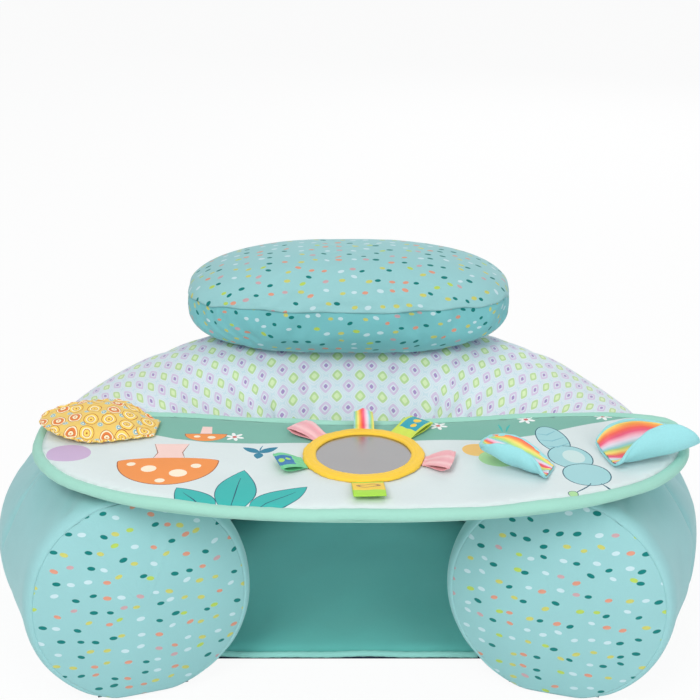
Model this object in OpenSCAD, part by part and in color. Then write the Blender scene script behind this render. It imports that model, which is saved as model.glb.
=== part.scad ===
// Baby floor seat: a C-shaped stuffed ring cushion with a padded floor, a head
// bolster on its back and a padded play tray across its two arms.
// Millimetres. +Z is up, +Y is towards the back, and the origin lies on the floor
// under the middle of the seat.

/* [Ring cushion] */
// Outer width of the ring cushion
ring_w = 620; // [560:10:660]
// Width of the stuffed tube at the back and the sides
tube_w = 190; // [180:2:196]
// Width of the tube where it meets the end cap
arm_end_w = 183; // [176:1:188]
// Height of the ring at the back
back_h = 181; // [176:1:188]
// Height of the ring at the sides
side_h = 160; // [156:1:170]
// Height of the two arms under the tray
arm_h = 187; // [182:1:190]
// Angle that the curved part of the ring turns through on each side
arc_deg = 108; // [104:1:112]
// Length of the straight part of each arm
arm_len = 118; // [106:1:124]
// How far each end cap bulges forward
cap_bulge = 14; // [8:1:18]

/* [Floor pad] */
// Radius of the padded floor of the well
floor_r = 165; // [150:1:168]
// Distance from the well's centre forward to the floor's front edge
floor_front = 120; // [105:1:130]
// Height of the floor pad's top above the base fabric
floor_h = 8; // [6:0.5:10]

/* [Bolster] */
// Width of the head bolster
bolster_w = 320; // [290:2:340]
// Depth of the head bolster, front to back
bolster_d = 150; // [135:1:156]
// Height of the head bolster above its seam
bolster_crown = 47; // [38:1:52]
// Height of the bolster's seam above the floor
bolster_seam_z = 224; // [218:1:228]
// Distance of the bolster's middle behind the well's centre
bolster_y = 196; // [190:1:202]

/* [Tray] */
// Width of the play tray over its binding
tray_w = 540; // [520:2:560]
// Distance from the well's centre forward to the tray's front edge
tray_front = 234; // [226:1:240]
// Distance from the well's centre forward to the middle of the tray's rear edge
tray_rear = 73; // [66:1:80]
// Thickness of the padded tray
tray_t = 14; // [12:0.5:16]
// How far the tray sits to the right of the middle
tray_shift = 10; // [0:1:14]

/* [Toys] */
// Outer radius of the mirror's cloth frame
mirror_frame_r = 48.5; // [46:0.5:54]
// Radius of the mirror that shows
mirror_r = 39; // [34:0.5:41]
// Length of each cloth wing from its sewn root
wing_len = 74; // [68:1:78]
// Length of the crinkle leaf from its sewn root
leaf_len = 97; // [86:1:98]

/* [Hidden] */

// --- Colours ---
aqua = [0.55, 0.80, 0.81];
teal = [0.36, 0.66, 0.65];
mint = [0.62, 0.88, 0.80];
lilac_print = [0.82, 0.85, 0.92];
satin_pink = [0.96, 0.70, 0.72];
frame_yellow = [0.98, 0.79, 0.20];
print_white = [0.88, 0.93, 0.92];
dark_grip = [0.10, 0.14, 0.20];
fibre_white = [0.95, 0.95, 0.93];
hook_grey = [0.82, 0.84, 0.84];

// --- Thicknesses and gaps ---
base_t = 2;          // dark base fabric
cover_t = 2;         // every cover panel of the ring and the bolster
fill_gap = 3.5;      // between a cover and the filling, which has coarser facets
sink = 4;            // how deep the stuffed tube is pressed flat by the floor
strip_t = 1.2;       // each half of a touch fastener
body_gap = 0.3;      // between the two halves, which come apart
fold_gap = strip_t * 2 + body_gap;
round_fn = 96;

// --- Places ---
centre_r = (ring_w - tube_w) / 2;          // the tube's centreline
arc_len = centre_r * arc_deg * PI / 180;
path_len = arc_len + arm_len;
back_seat_z = back_h - 3;                  // flat where the bolster sits
arm_seat_z = arm_h - 1.4;                  // flat where the tray sits
zip_t = 1.2;
zip_teeth_t = 1.1;
back_reach = ring_w / 2 + zip_t + zip_teeth_t;
well_y = (tray_front - back_reach) / 2;    // puts the origin midway, front to back
tray_z = arm_seat_z + fold_gap;
tray_top = tray_z + tray_t;

// --- Panels of the ring: grid steps ---
ring_cols = 16;      // along each half of the curved part
sleeve_cols = 6;     // along each arm sleeve
over_rows = 12;      // round the tube, over the top
under_rows = 8;      // round the tube, under it
tube_rows = over_rows + under_rows;
inner_seam = 222;    // angle round the tube of the seam above the floor pad

function smooth(x) = let(c = min(1, max(0, x))) c * c * (3 - 2 * c);
function mix(a, b, f) = a + (b - a) * f;

// Point of the centreline t millimetres from the middle of the back.
function path_point(t) =
    let(over = max(0, t - arc_len), phi = min(t, arc_len) / centre_r * 180 / PI, turn = arc_deg - 90)
    [centre_r * sin(phi) - over * sin(turn), centre_r * cos(phi) - over * cos(turn)];
function path_out(t) = let(phi = min(t, arc_len) / centre_r * 180 / PI) [sin(phi), cos(phi)];

side_len = centre_r * PI / 2;
flat_len = side_len * 0.22;
end_tuck = 3;        // the tube draws in at the end seam
tuck_len = 16;
function tuck(t) = end_tuck * pow(max(0, 1 - (path_len - t) / tuck_len), 2);
function tube_half(t) = mix(tube_w, arm_end_w, smooth((t - side_len) / (path_len - side_len))) / 2 - tuck(t);
function tube_top(t) = t < side_len
    ? mix(back_h, side_h, smooth((t - flat_len) / (side_len - flat_len)))
    : mix(side_h, arm_h, smooth((t - side_len) / (arc_len + 30 - side_len))) - tuck(t);
function seat_z(t) = t < side_len ? back_seat_z : arm_seat_z;

function power_cos(a, p) = sign(cos(a)) * pow(abs(cos(a)), 2 / p);
function power_sin(a, p) = sign(sin(a)) * pow(abs(sin(a)), 2 / p);

// The stuffed tube sags at its sides: its lower outer quarter is fuller than round there.
sag_power = 2.45;
function tube_power(t, u) = cos(u) > 0 && sin(u) < 0
    ? mix(2, sag_power, smooth((t / side_len - 0.45) / 0.5) * (1 - smooth((t - arc_len) / arm_len)))
    : 2;

// Point of the stuffed tube's skin, u degrees round it from its outer side over the
// top, d millimetres under the surface.
function skin(t, u, d = 0) =
    let(half = tube_half(t), high = (tube_top(t) - base_t + sink) / 2,
        c = path_point(t), n = path_out(t), full = tube_power(t, u),
        z = base_t - sink + high + (high - d) * power_sin(u, full),
        r = (half - d) * power_cos(u, full))
    [c.x + n.x * r, c.y + n.y * r + well_y, min(max(z, base_t + d), seat_z(t) - d)];

// The seam between the printed top and the plain lower cover, at share f of the way
// from the back to the sleeve.
outer_seam_back = -5;
outer_seam_side = 58;
function outer_seam(f) = mix(outer_seam_back, outer_seam_side, smooth((f - 0.39) / 0.42));

// The sleeve's seam lies further back on the inner side of the tube.
seam_front = arc_len + 14;
seam_step = 38;
function sleeve_seam(u) = seam_front - seam_step * (
    u < inner_seam ? smooth((u - 90) / 90)
    : smooth((360 + outer_seam_back - u) / (360 + outer_seam_back - inner_seam)));
function row_angle(k, from) = k <= over_rows
    ? mix(from, inner_seam, k / over_rows)
    : mix(inner_seam, 360 + from, (k - over_rows) / under_rows);

// Skin point at column i, from -ring_cols to ring_cols, and row k.
function ring_skin(i, k, d) =
    let(f = abs(i) / ring_cols, u = row_angle(k, outer_seam(f)), p = skin(f * sleeve_seam(u), u, d))
    [p.x * (i < 0 ? -1 : 1), p.y, p.z];
function sleeve_skin(i, k, d) =
    let(u = row_angle(k, outer_seam_side)) skin(mix(sleeve_seam(u), path_len, i / sleeve_cols), u, d);

// --- Polyhedra from grids of points ---
function flat_list(rows) = [for (r = rows) each r];
function quad(a, b, c, d) = [[a, c, b], [a, d, c]];

// A thick sheet between two grids of the same size. Its edges are split so that two
// sheets meet face to face along a seam.
module sheet(outer, inner) {
    rows = len(outer);
    cols = len(outer[0]);
    n = rows * cols;
    over = [for (i = [0:rows - 2], j = [0:cols - 2])
        each quad(i * cols + j, i * cols + j + 1, (i + 1) * cols + j + 1, (i + 1) * cols + j)];
    under = [for (f = over) [f[2] + n, f[1] + n, f[0] + n]];
    ends = [for (j = [0:cols - 2]) each concat(
        quad(j + 1, j, j + n, j + 1 + n),
        quad(n - cols + j + 1, 2 * n - cols + j + 1, 2 * n - cols + j, n - cols + j))];
    sides = [for (i = [0:rows - 2]) each concat(
        quad(i * cols, (i + 1) * cols, (i + 1) * cols + n, i * cols + n),
        quad((i + 1) * cols - 1, (i + 1) * cols - 1 + n, (i + 2) * cols - 1 + n, (i + 2) * cols - 1))];
    polyhedron(concat(flat_list(outer), flat_list(inner)), concat(over, under, ends, sides));
}

// A solid from closed rings of points, with a point at each end.
module stack(rings, first, last) {
    cols = len(rings[0]);
    n = len(rings) * cols;
    walls = [for (i = [0:len(rings) - 2], j = [0:cols - 1]) let(k = (j + 1) % cols)
        each quad(i * cols + j, i * cols + k, (i + 1) * cols + k, (i + 1) * cols + j)];
    ends = [for (j = [0:cols - 1]) let(k = (j + 1) % cols) each
        [[n, j, k], [n + 1, n - cols + k, n - cols + j]]];
    polyhedron(concat(flat_list(rings), [first, last]), concat(walls, ends));
}

// A closed band of thick cloth between two sets of closed rings.
module band(outer, inner) {
    cols = len(outer[0]);
    n = len(outer) * cols;
    over = [for (i = [0:len(outer) - 2], j = [0:cols - 1]) let(k = (j + 1) % cols)
        each quad(i * cols + j, i * cols + k, (i + 1) * cols + k, (i + 1) * cols + j)];
    under = [for (f = over) [f[2] + n, f[1] + n, f[0] + n]];
    ends = [for (j = [0:cols - 1]) let(k = (j + 1) % cols) each concat(
        quad(k, j, j + n, k + n),
        quad(n - cols + j, n - cols + k, 2 * n - cols + k, 2 * n - cols + j))];
    polyhedron(concat(flat_list(outer), flat_list(inner)), concat(over, under, ends));
}

// ---------------------------------------------------------------- Seat: base and floor

base_half = 38;      // half the width of the base fabric under the tube

module base_outline() {
    intersection() {
        circle(r = centre_r + base_half, $fn = round_fn);
        translate([-ring_w, -floor_front - 2]) square([2 * ring_w, 2 * ring_w]);
    }
    for (side = [-1, 1]) {
        tip = path_point(arc_len);
        translate([side * tip.x, tip.y])
            rotate(side * (90 - arc_deg))
            translate([-base_half, -arm_len + 10]) square([2 * base_half, arm_len - 9]);
    }
}

module base_fabric() {
    color(dark_grip) translate([0, well_y, 0]) linear_extrude(base_t) base_outline();
}

module floor_outline(inset) {
    intersection() {
        circle(r = floor_r - inset, $fn = round_fn);
        translate([-ring_w, -floor_front + inset]) square([2 * ring_w, 2 * ring_w]);
    }
}

floor_skin = 1.4;

module floor_foam() {
    color(fibre_white) translate([0, well_y, base_t])
        linear_extrude(floor_h - floor_skin) floor_outline(floor_skin);
}

module floor_cover() {
    color(teal) translate([0, well_y, base_t]) difference() {
        linear_extrude(floor_h) floor_outline(0);
        translate([0, 0, -1]) linear_extrude(floor_h - floor_skin + 1) floor_outline(floor_skin);
    }
}

piping_r = 2.6;

module front_piping() {
    half = sqrt(pow(floor_r, 2) - pow(floor_front, 2)) - 2;
    color(mint) translate([-half, well_y - floor_front - piping_r, base_t + piping_r])
        rotate([0, 90, 0]) cylinder(r = piping_r, h = 2 * half, $fn = 32);
}

// ---------------------------------------------------------------- Seat: ring cushion

fill_cols = 12;      // along each half
fill_rows = 14;      // round the tube
fill_in = cover_t + fill_gap;

function fill_ring(i) = let(f = abs(i) / fill_cols, t = f * (path_len - fill_in))
    [for (k = [0:fill_rows - 1]) let(p = skin(t, k * 360 / fill_rows, fill_in))
        [p.x * (i < 0 ? -1 : 1), p.y, p.z]];
function cap_centre(bulge) =
    let(c = path_point(path_len), turn = arc_deg - 90, high = (tube_top(path_len) - base_t + sink) / 2)
    [c.x - bulge * sin(turn), c.y - bulge * cos(turn) + well_y, base_t - sink + high];

module ring_filling() {
    tip = cap_centre(cap_bulge - fill_in - 3);
    color(fibre_white)
        stack([for (i = [-fill_cols:fill_cols]) fill_ring(i)], [-tip.x, tip.y, tip.z], tip);
}

module top_cover() {
    color(lilac_print) sheet(
        [for (i = [-ring_cols:ring_cols]) [for (k = [0:over_rows]) ring_skin(i, k, 0)]],
        [for (i = [-ring_cols:ring_cols]) [for (k = [0:over_rows]) ring_skin(i, k, cover_t)]]);
}

module lower_cover() {
    color(aqua) sheet(
        [for (i = [-ring_cols:ring_cols]) [for (k = [over_rows:tube_rows]) ring_skin(i, k, 0)]],
        [for (i = [-ring_cols:ring_cols]) [for (k = [over_rows:tube_rows]) ring_skin(i, k, cover_t)]]);
}

module arm_sleeve() {
    color(aqua) band(
        [for (i = [0:sleeve_cols]) [for (k = [0:tube_rows - 1]) sleeve_skin(i, k, 0)]],
        [for (i = [0:sleeve_cols]) [for (k = [0:tube_rows - 1]) sleeve_skin(i, k, cover_t)]]);
}

cap_rings = 3;
cap_seam = 0.2;      // the cap starts this far in front of the sleeve's edge

// Ring of the end cap at share f of its radius, d millimetres under its face.
function cap_ring(f, d) = [for (k = [0:tube_rows - 1])
    let(rim = skin(path_len, row_angle(k, outer_seam_side), d / 2),
        mid = cap_centre(cap_seam + (cap_bulge - d) * (1 - f * f)),
        base = cap_centre(0))
    [mid.x + (rim.x - base.x) * f, mid.y + (rim.y - base.y) * f, mid.z + (rim.z - base.z) * f]];

module end_cap() {
    outer = [for (i = [cap_rings:-1:1]) cap_ring(i / cap_rings, 0)];
    inner = [for (i = [1:cap_rings]) cap_ring(i / cap_rings, cover_t)];
    cols = tube_rows;
    n = 2 * cap_rings * cols;
    rings = concat([for (r = inner) r], [cap_edge()], outer);
    color(aqua) stack(rings, cap_centre(cap_seam + cap_bulge - cover_t), cap_centre(cap_seam + cap_bulge));
}
function cap_edge() = cap_ring(1, 0.2);

patch_len = 60;
patch_w = 28;
patch_t_at = arc_len + 62;   // along the arm, under the tray

module arm_patch(z) {
    c = path_point(patch_t_at);
    translate([c.x, c.y + well_y, z]) rotate(90 - arc_deg) linear_extrude(strip_t)
        translate([-patch_w / 2, -patch_len / 2]) square([patch_w, patch_len]);
}

strip_half_deg = 9;
strip_r = 212;       // from the well's centre to the middle of the strip
strip_w = 18;

// A curved strip of touch fastener over the back of the ring.
module back_strip(z, inset) {
    translate([0, well_y, z]) rotate([0, 0, 90 - strip_half_deg])
        rotate_extrude(angle = 2 * strip_half_deg, $fn = round_fn)
        translate([strip_r - strip_w / 2 + inset, 0]) square([strip_w - 2 * inset, strip_t]);
}

// ---------------------------------------------------------------- Seat: zip

zip_half_deg = 40;
zip_tape_w = 22;
zip_teeth_w = 4;
zip_r = ring_w / 2;
zip_z = base_t - sink + (back_h - base_t + sink) / 2 * (1 + sin(outer_seam_back));
slide_gap = 0.35;

module zip_tape() {
    color(aqua * 0.9) translate([0, well_y, zip_z]) rotate([0, 0, 90 - zip_half_deg - 3])
        rotate_extrude(angle = 2 * zip_half_deg + 6, $fn = round_fn) union() {
            translate([zip_r, -zip_tape_w / 2]) square([zip_t, zip_tape_w]);
            translate([zip_r + zip_t - 0.1, -zip_teeth_w / 2]) square([zip_teeth_t + 0.1, zip_teeth_w]);
        }
}

slider_w = 11;
slider_h = 9;
slider_t = 3.4;
bail_r = 1.1;

module at_zip_end() {
    translate([0, well_y, zip_z]) rotate([0, 0, 90 + zip_half_deg]) translate([zip_r, 0, 0]) children();
}

slider_face = zip_t + slide_gap + slider_t;
bail_out = 2.5;          // from the slider's face to the middle of its bail
ear_w = 1.2;
ear_half = 1.6;
eye_w = 4.4;
eye_r = bail_r + 1;

module zip_slider() {
    color("silver") at_zip_end() {
        difference() {
            translate([zip_t + slide_gap, -slider_w / 2, -slider_h / 2])
                cube([slider_t, slider_w, slider_h]);
            translate([-1, -slider_w, -zip_teeth_w / 2 - slide_gap])
                cube([1 + zip_t + zip_teeth_t + slide_gap, 2 * slider_w, zip_teeth_w + 2 * slide_gap]);
        }
        translate([slider_face + bail_out, -3, 0]) rotate([-90, 0, 0]) cylinder(r = bail_r, h = 6, $fn = 24);
        for (side = [-1, 1])
            translate([slider_face - 0.2, side * (eye_w / 2 + 0.4 + ear_w / 2) - ear_w / 2, -ear_half])
                cube([0.2 + bail_out + ear_half, ear_w, 2 * ear_half]);
    }
}

pull_len = 24;
pull_w = 7;
pull_t = 1.6;
pull_bore_r = bail_r + 0.05;

module zip_pull() {
    color("silver") at_zip_end() translate([slider_face + bail_out, 0, 0]) difference() {
        union() {
            translate([0, -eye_w / 2, 0]) rotate([-90, 0, 0]) cylinder(r = eye_r, h = eye_w, $fn = 32);
            translate([0.2, -eye_w / 2, -8]) cube([pull_t, eye_w, 8]);
            translate([0.2, -pull_w / 2, -pull_len]) cube([pull_t, pull_w, pull_len - 7]);
        }
        translate([0, -3, 0]) rotate([-90, 0, 0]) cylinder(r = pull_bore_r, h = 6, $fn = 32);
    }
}

// ---------------------------------------------------------------- Bolster

bolster_cols = 32;
bolster_rows = 5;
plan_power = 3;      // squareness of the bolster from above
crown_power = 2.15;  // fullness of its crown
belly_power = 3.2;   // fullness of its belly
drop = 52;           // depth of the bolster's belly under its seam
belly_gap = fold_gap + 0.1;

// Top of the ring under a point, measured from the well's centre.
function ring_top(x, y) =
    let(t = centre_r * atan2(abs(x), y) * PI / 180, r = (norm([x, y]) - centre_r) / tube_half(t),
        high = (tube_top(t) - base_t + sink) / 2)
    abs(r) < 1 ? min(back_seat_z, base_t - sink + high * (1 + sqrt(1 - r * r))) : 0;

// Bolster point at share f of its plan outline and angle a; up is 1 or -1.
function bolster_point(f, a, up, d) =
    let(x = (bolster_w / 2 - d) * f * power_cos(a, plan_power),
        y = bolster_y + (bolster_d / 2 - d) * f * power_sin(a, plan_power),
        full = up > 0 ? crown_power : belly_power,
        rise = pow(1 - pow(f, full), 1 / full),
        z = bolster_seam_z + (up > 0 ? (bolster_crown - d) : -(drop - d)) * rise)
    [x, y + well_y, up > 0 ? z : min(bolster_seam_z, max(z, ring_top(x, y) + belly_gap + d))];
function bolster_ring(i, rows, cols, up, d) =
    let(f = sin(90 * i / rows)) [for (k = [0:cols - 1]) bolster_point(f, k * 360 / cols, up, d)];

module bolster_shell(up, seam) {
    outer = [for (i = [1:bolster_rows]) bolster_ring(i, bolster_rows, bolster_cols, up, 0)];
    inner = [for (i = [bolster_rows:-1:1]) bolster_ring(i, bolster_rows, bolster_cols, up, cover_t)];
    lift = [0, 0, seam];
    rings = [for (r = concat(outer, inner)) [for (p = r) p + lift]];
    first = bolster_point(0, 0, up, 0) + lift;
    last = bolster_point(0, 0, up, cover_t) + lift;
    if (up > 0) stack([for (i = [len(rings) - 1:-1:0]) rings[i]], last, first);
    else stack(rings, first, last);
}

module bolster_top_cover() {
    color(aqua) bolster_shell(1, 0.1);
}

module bolster_bottom_cover() {
    color(aqua) bolster_shell(-1, 0);
}

bolster_fill_cols = 20;
bolster_fill_rows = 4;
bolster_fill_in = fill_in + 1.5;

module bolster_filling() {
    function ring(i, up) = bolster_ring(i, bolster_fill_rows, bolster_fill_cols, up, bolster_fill_in);
    low = [for (i = [1:bolster_fill_rows]) ring(i, -1)];
    high = [for (i = [bolster_fill_rows - 1:-1:1]) ring(i, 1)];
    color(fibre_white) stack(concat(low, high),
        bolster_point(0, 0, -1, bolster_fill_in), bolster_point(0, 0, 1, bolster_fill_in));
}

// ---------------------------------------------------------------- Tray

binding_r = 4.75;        // the rolled edge, level with the tray's top
tray_waist_y = 100;      // the tray is widest this far in front of the well's centre
tray_dip_half = 220;     // half the width of the rear edge's hollow
tray_dip = 26;
front_power = 2.3;
rear_power = 5;
tray_pts = 64;

// Outline of the tray, inset from its outer edge: a bowed front and a hollowed rear.
function tray_front_point(a, half, deep) =
    [half * power_cos(a, front_power), deep * power_sin(a, front_power)];
function tray_rear_point(a, half, deep) =
    let(x = half * cos(a), rise = pow(1 - pow(abs(cos(a)), rear_power), 1 / rear_power),
        dip = abs(x) < tray_dip_half ? tray_dip * pow(cos(90 * x / tray_dip_half), 2) : 0)
    [x, (deep - dip) * rise];
function tray_outline(inset) =
    let(half = tray_w / 2 - inset, front = tray_front - tray_waist_y - inset,
        rear = tray_waist_y - tray_rear + tray_dip - inset)
    [for (k = [0:tray_pts - 1])
        let(a = (k + 0.5) * 360 / tray_pts,
            p = a < 180 ? tray_rear_point(a, half, rear) : tray_front_point(a, half, front))
        [p.x + tray_shift, p.y - tray_waist_y + well_y]];

board_t = 3;
cloth_t = 1.2;
panel_inset = 2 * binding_r + 0.4;

module tray_layer(z, t, inset = panel_inset) {
    translate([0, 0, z]) linear_extrude(t) polygon(tray_outline(inset));
}

module tray_bottom_fabric() {
    color(mint) tray_layer(tray_z, cloth_t);
}

module tray_board() {
    color(fibre_white * 0.9) tray_layer(tray_z + cloth_t, board_t, panel_inset + 3);
}

module tray_foam() {
    color(fibre_white) tray_layer(tray_z + cloth_t + board_t, tray_t - 2 * cloth_t - board_t);
}

module tray_top_fabric() {
    color(print_white) tray_layer(tray_top - cloth_t, cloth_t);
}

binding_sides = 6;

// Rings of the binding round the tray's outline, square to it.
function binding_ring(p, q) =
    let(dir = (q - p) / norm(q - p), out = [dir.y, -dir.x])
    [for (k = [0:binding_sides - 1])
        let(a = (k + 0.5) * 360 / binding_sides, r = binding_r / cos(180 / binding_sides))
        [p.x + out.x * r * cos(a), p.y + out.y * r * cos(a), tray_top - binding_r + r * sin(a)]];

module tray_binding() {
    line = tray_outline(binding_r);
    rings = [for (k = [0:tray_pts - 1])
        let(a = line[(k + tray_pts - 1) % tray_pts], c = line[(k + 1) % tray_pts],
            dir = (c - a) / norm(c - a))
        binding_ring(line[k], line[k] + dir)];
    cols = binding_sides;
    faces = [for (i = [0:tray_pts - 1], j = [0:cols - 1]) let(ni = (i + 1) % tray_pts, nj = (j + 1) % cols)
        each quad(i * cols + j, ni * cols + j, ni * cols + nj, i * cols + nj)];
    color(mint) polyhedron(flat_list(rings), faces);
}

// ---------------------------------------------------------------- Mirror

mirror_x = 12;
mirror_front = 142;      // in front of the well's centre
frame_t = 2.6;
film_t = 0.6;
lip_t = 1.1;

module at_mirror(z) {
    translate([mirror_x, well_y - mirror_front, z]) children();
}

module mirror_backing() {
    color(fibre_white) at_mirror(tray_top)
        cylinder(r = mirror_frame_r - 6, h = frame_t - lip_t - film_t, $fn = round_fn);
}

module mirror_film() {
    color([0.75, 0.76, 0.78]) at_mirror(tray_top + frame_t - lip_t - film_t)
        cylinder(r = mirror_frame_r - 6, h = film_t, $fn = round_fn);
}

module mirror_frame() {
    color(frame_yellow) at_mirror(tray_top) rotate_extrude($fn = round_fn) polygon([
        [mirror_frame_r - 5.8, 0], [mirror_frame_r, 0], [mirror_frame_r, frame_t - 0.8],
        [mirror_frame_r - 0.8, frame_t], [mirror_r + 0.6, frame_t], [mirror_r, frame_t - 0.5],
        [mirror_r, frame_t - lip_t], [mirror_frame_r - 5.8, frame_t - lip_t]]);
}

// ---------------------------------------------------------------- Ribbon loops

ribbon_t = 0.9;
loop_open = 3.2;         // the most that the two layers part
loop_steps = 10;
root_gap = 1.5;          // from the frame's edge to the loop's root

// Side view of a loop of ribbon: x runs from its root to its fold.
function loop_half(length, grow, up) =
    [for (i = [0:loop_steps]) let(f = i / loop_steps)
        [mix(1.2 - grow, length - 1 + grow, f),
         up * (grow + (loop_open / 2) * pow(sin(180 * pow(f, 1.3)), 0.6) * (f > 0 && f < 1 ? 1 : 0))]];
function reversed(list) = [for (i = [len(list) - 1:-1:0]) list[i]];

// A ribbon loop sewn at the frame's edge; it points along angle, tilted up from the tray.
module ribbon_loop(angle, width, length, tilt) {
    lift = ribbon_t + 0.1;
    at_mirror(tray_top + lift + body_gap) rotate([0, 0, angle])
        translate([mirror_frame_r + root_gap, 0, 0]) rotate([0, -tilt, 0])
        translate([0, width / 2, tilt > 0 ? 0 : loop_open / 2]) rotate([90, 0, 0])
        linear_extrude(width) difference() {
            polygon(concat(loop_half(length, ribbon_t, 1), reversed(loop_half(length, ribbon_t, -1))));
            polygon(concat(loop_half(length - 1, 0.01, 1), reversed(loop_half(length - 1, 0.01, -1))));
        }
}

module loop_pink_left() { color(satin_pink) ribbon_loop(136, 23, 27, 8); }
module loop_rainbow() { color("coral") ribbon_loop(89, 18, 18, 60); }
module loop_teal_right() { color(teal) ribbon_loop(51, 23, 29, 8); }
module loop_pink_right() { color(satin_pink) ribbon_loop(-13, 33, 24, 9); }
module loop_yellow_front() { color(frame_yellow) ribbon_loop(-87, 25, 32, 8); }
module loop_green_left() { color("mediumseagreen") ribbon_loop(197, 29, 22, 11); }

// ---------------------------------------------------------------- Cloth wings

wing_steps = 5;
wing_across = [1, 0.6, 0.2, -0.15, -0.32, -0.49, -0.66, -0.83, -1];
wing_cloth = 1.5;
lining_t = 0.9;
wing_lift = 1.2;         // the root's height over the tray
wing_flat = 5;           // half the part that lies flat, between the two curled edges

// Point across a wing, s millimetres out from its middle and h in from its outer face:
// beyond the flat middle it curls up on an arc of radius r.
function curled(s, h, r) = s < wing_flat ? [s, h]
    : let(a = (s - wing_flat) / r * 180 / PI) [wing_flat + (r - h) * sin(a), r - (r - h) * cos(a)];

// How far a wing reaches to its front or its back edge, laid flat, f from root to tip, and
// the radius of its curl, which opens out at the sewn root.
function wing_reach(f, side, shape) =
    shape[4 + side] * pow(sin(180 * pow(0.08 + 0.86 * f, shape[6 + side])), 0.55);
function wing_curl(f, side, shape) = shape[side] / mix(0.4, 1, smooth(f / 0.15));

// Point of a wing: q from -1 at its front edge, which curls over, to 1 at its back edge.
function wing_point(f, q, h, shape) =
    let(side = q < 0 ? 0 : 1,
        p = curled(wing_reach(f, side, shape) * abs(q), h, wing_curl(f, side, shape)))
    [shape[3] * f - 4 * q * q * f, sign(q) * p.x, wing_lift + p.y + shape[2] * f * f];

module wing_sheet(low, high, shape) {
    function grid(h) = [for (i = [0:wing_steps])
        [for (q = wing_across) wing_point(i / wing_steps, q, h, shape)]];
    sheet(grid(high), grid(low));
}

left_root = [159, 174, 157];      // x, distance in front of the well's centre, heading
right_root = [206, 150, 13];
// Front and back curl, rise of the tip, length, front and back reach, and where each is widest.
left_shape = [11, 32, 15, wing_len - 16, 31, 26, 0.95, 1.3];
right_shape = [14.5, 26, 10, wing_len, 44, 37, 1.2, 0.72];

module at_root(root, flip) {
    translate([root[0], well_y - root[1], tray_top]) rotate([0, 0, root[2]])
        mirror([0, flip ? 1 : 0, 0]) children();
}

module wing_plush(shape) {
    color(aqua) wing_sheet(0, wing_cloth, shape);
}

module wing_lining(shape) {
    color("salmon") wing_sheet(wing_cloth + 0.05, wing_cloth + 0.05 + lining_t, shape);
}

// ---------------------------------------------------------------- Crinkle leaf

leaf_root = [-159, 93, 176];
leaf_half = 30;
leaf_lift = 13;          // how high its back edge stands
leaf_steps = 8;
leaf_across = 4;
leaf_crown = 5;          // the crinkle flap is lightly padded
leaf_cloth = 0.9;
leaf_film_t = 0.3;

function leaf_back(f) = leaf_half * pow(sin(180 * (0.10 + 0.88 * f)), 0.7);
function leaf_front(f) = leaf_half * pow(sin(180 * pow(0.16 + 0.83 * f, 1.5)), 0.55);
function leaf_rise(f, q) =
    leaf_lift * smooth(f / 0.4) * leaf_back(f) / leaf_half * (1 - q) / 2 * (1 - 0.3 * f) + 6 * f * f;
function leaf_point(f, q, h, crown) =
    [leaf_len * f, q * (q > 0 ? leaf_front(f) : leaf_back(f)),
     1.0 + h + crown * (1 - q * q) * sin(180 * f) + leaf_rise(f, q)];

module leaf_sheet(low, high, crown_low, crown_high) {
    function grid(h, crown) = [for (i = [0:leaf_steps]) [for (j = [0:leaf_across])
        leaf_point(i / leaf_steps, mix(1, -1, j / leaf_across), h, crown)]];
    at_root(leaf_root, false) sheet(grid(high, crown_high), grid(low, crown_low));
}

module leaf_bottom_fabric() { color("khaki") leaf_sheet(0, leaf_cloth, 0, 0); }
module leaf_film() {
    low = leaf_cloth + 0.1;
    color("silver") leaf_sheet(low, low + leaf_film_t, leaf_crown / 2, leaf_crown / 2);
}
module leaf_top_fabric() {
    low = leaf_cloth + leaf_film_t + 0.2;
    color("gold") leaf_sheet(low, low + leaf_cloth, leaf_crown, leaf_crown);
}

// ---------------------------------------------------------------- The nodes

module left() { mirror([1, 0, 0]) children(); }

base_fabric();
floor_foam();
floor_cover();
front_piping();
ring_filling();
top_cover();
lower_cover();
left() arm_sleeve();  // arm_sleeve_left
arm_sleeve();  // arm_sleeve_right
left() end_cap();  // end_cap_left
end_cap();  // end_cap_right
color(hook_grey) left() arm_patch(arm_seat_z);  // arm_loop_patch_left
color(hook_grey) arm_patch(arm_seat_z);  // arm_loop_patch_right
color(hook_grey) back_strip(back_seat_z, 0);  // back_loop_strip
zip_tape();
zip_slider();
zip_pull();
bolster_top_cover();
bolster_bottom_cover();
bolster_filling();
color(hook_grey) back_strip(back_seat_z + strip_t + body_gap, 1);  // bolster_hook_strip
tray_bottom_fabric();
tray_board();
tray_foam();
tray_top_fabric();
tray_binding();
color(hook_grey) left() arm_patch(arm_seat_z + strip_t + body_gap);  // tray_hook_patch_left
color(hook_grey) arm_patch(arm_seat_z + strip_t + body_gap);  // tray_hook_patch_right
mirror_backing();
mirror_film();
mirror_frame();
at_root(left_root, true) wing_plush(left_shape);  // wing_left
at_root(left_root, true) wing_lining(left_shape);  // wing_lining_left
at_root(right_root, false) wing_plush(right_shape);  // wing_right
at_root(right_root, false) wing_lining(right_shape);  // wing_lining_right
leaf_bottom_fabric();
leaf_film();
leaf_top_fabric();
loop_pink_left();
loop_rainbow();
loop_teal_right();
loop_pink_right();
loop_yellow_front();
loop_green_left();
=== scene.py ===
import math

import bpy
import numpy as np
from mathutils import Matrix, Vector
from mathutils.bvhtree import BVHTree
from mathutils.geometry import delaunay_2d_cdt


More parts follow.
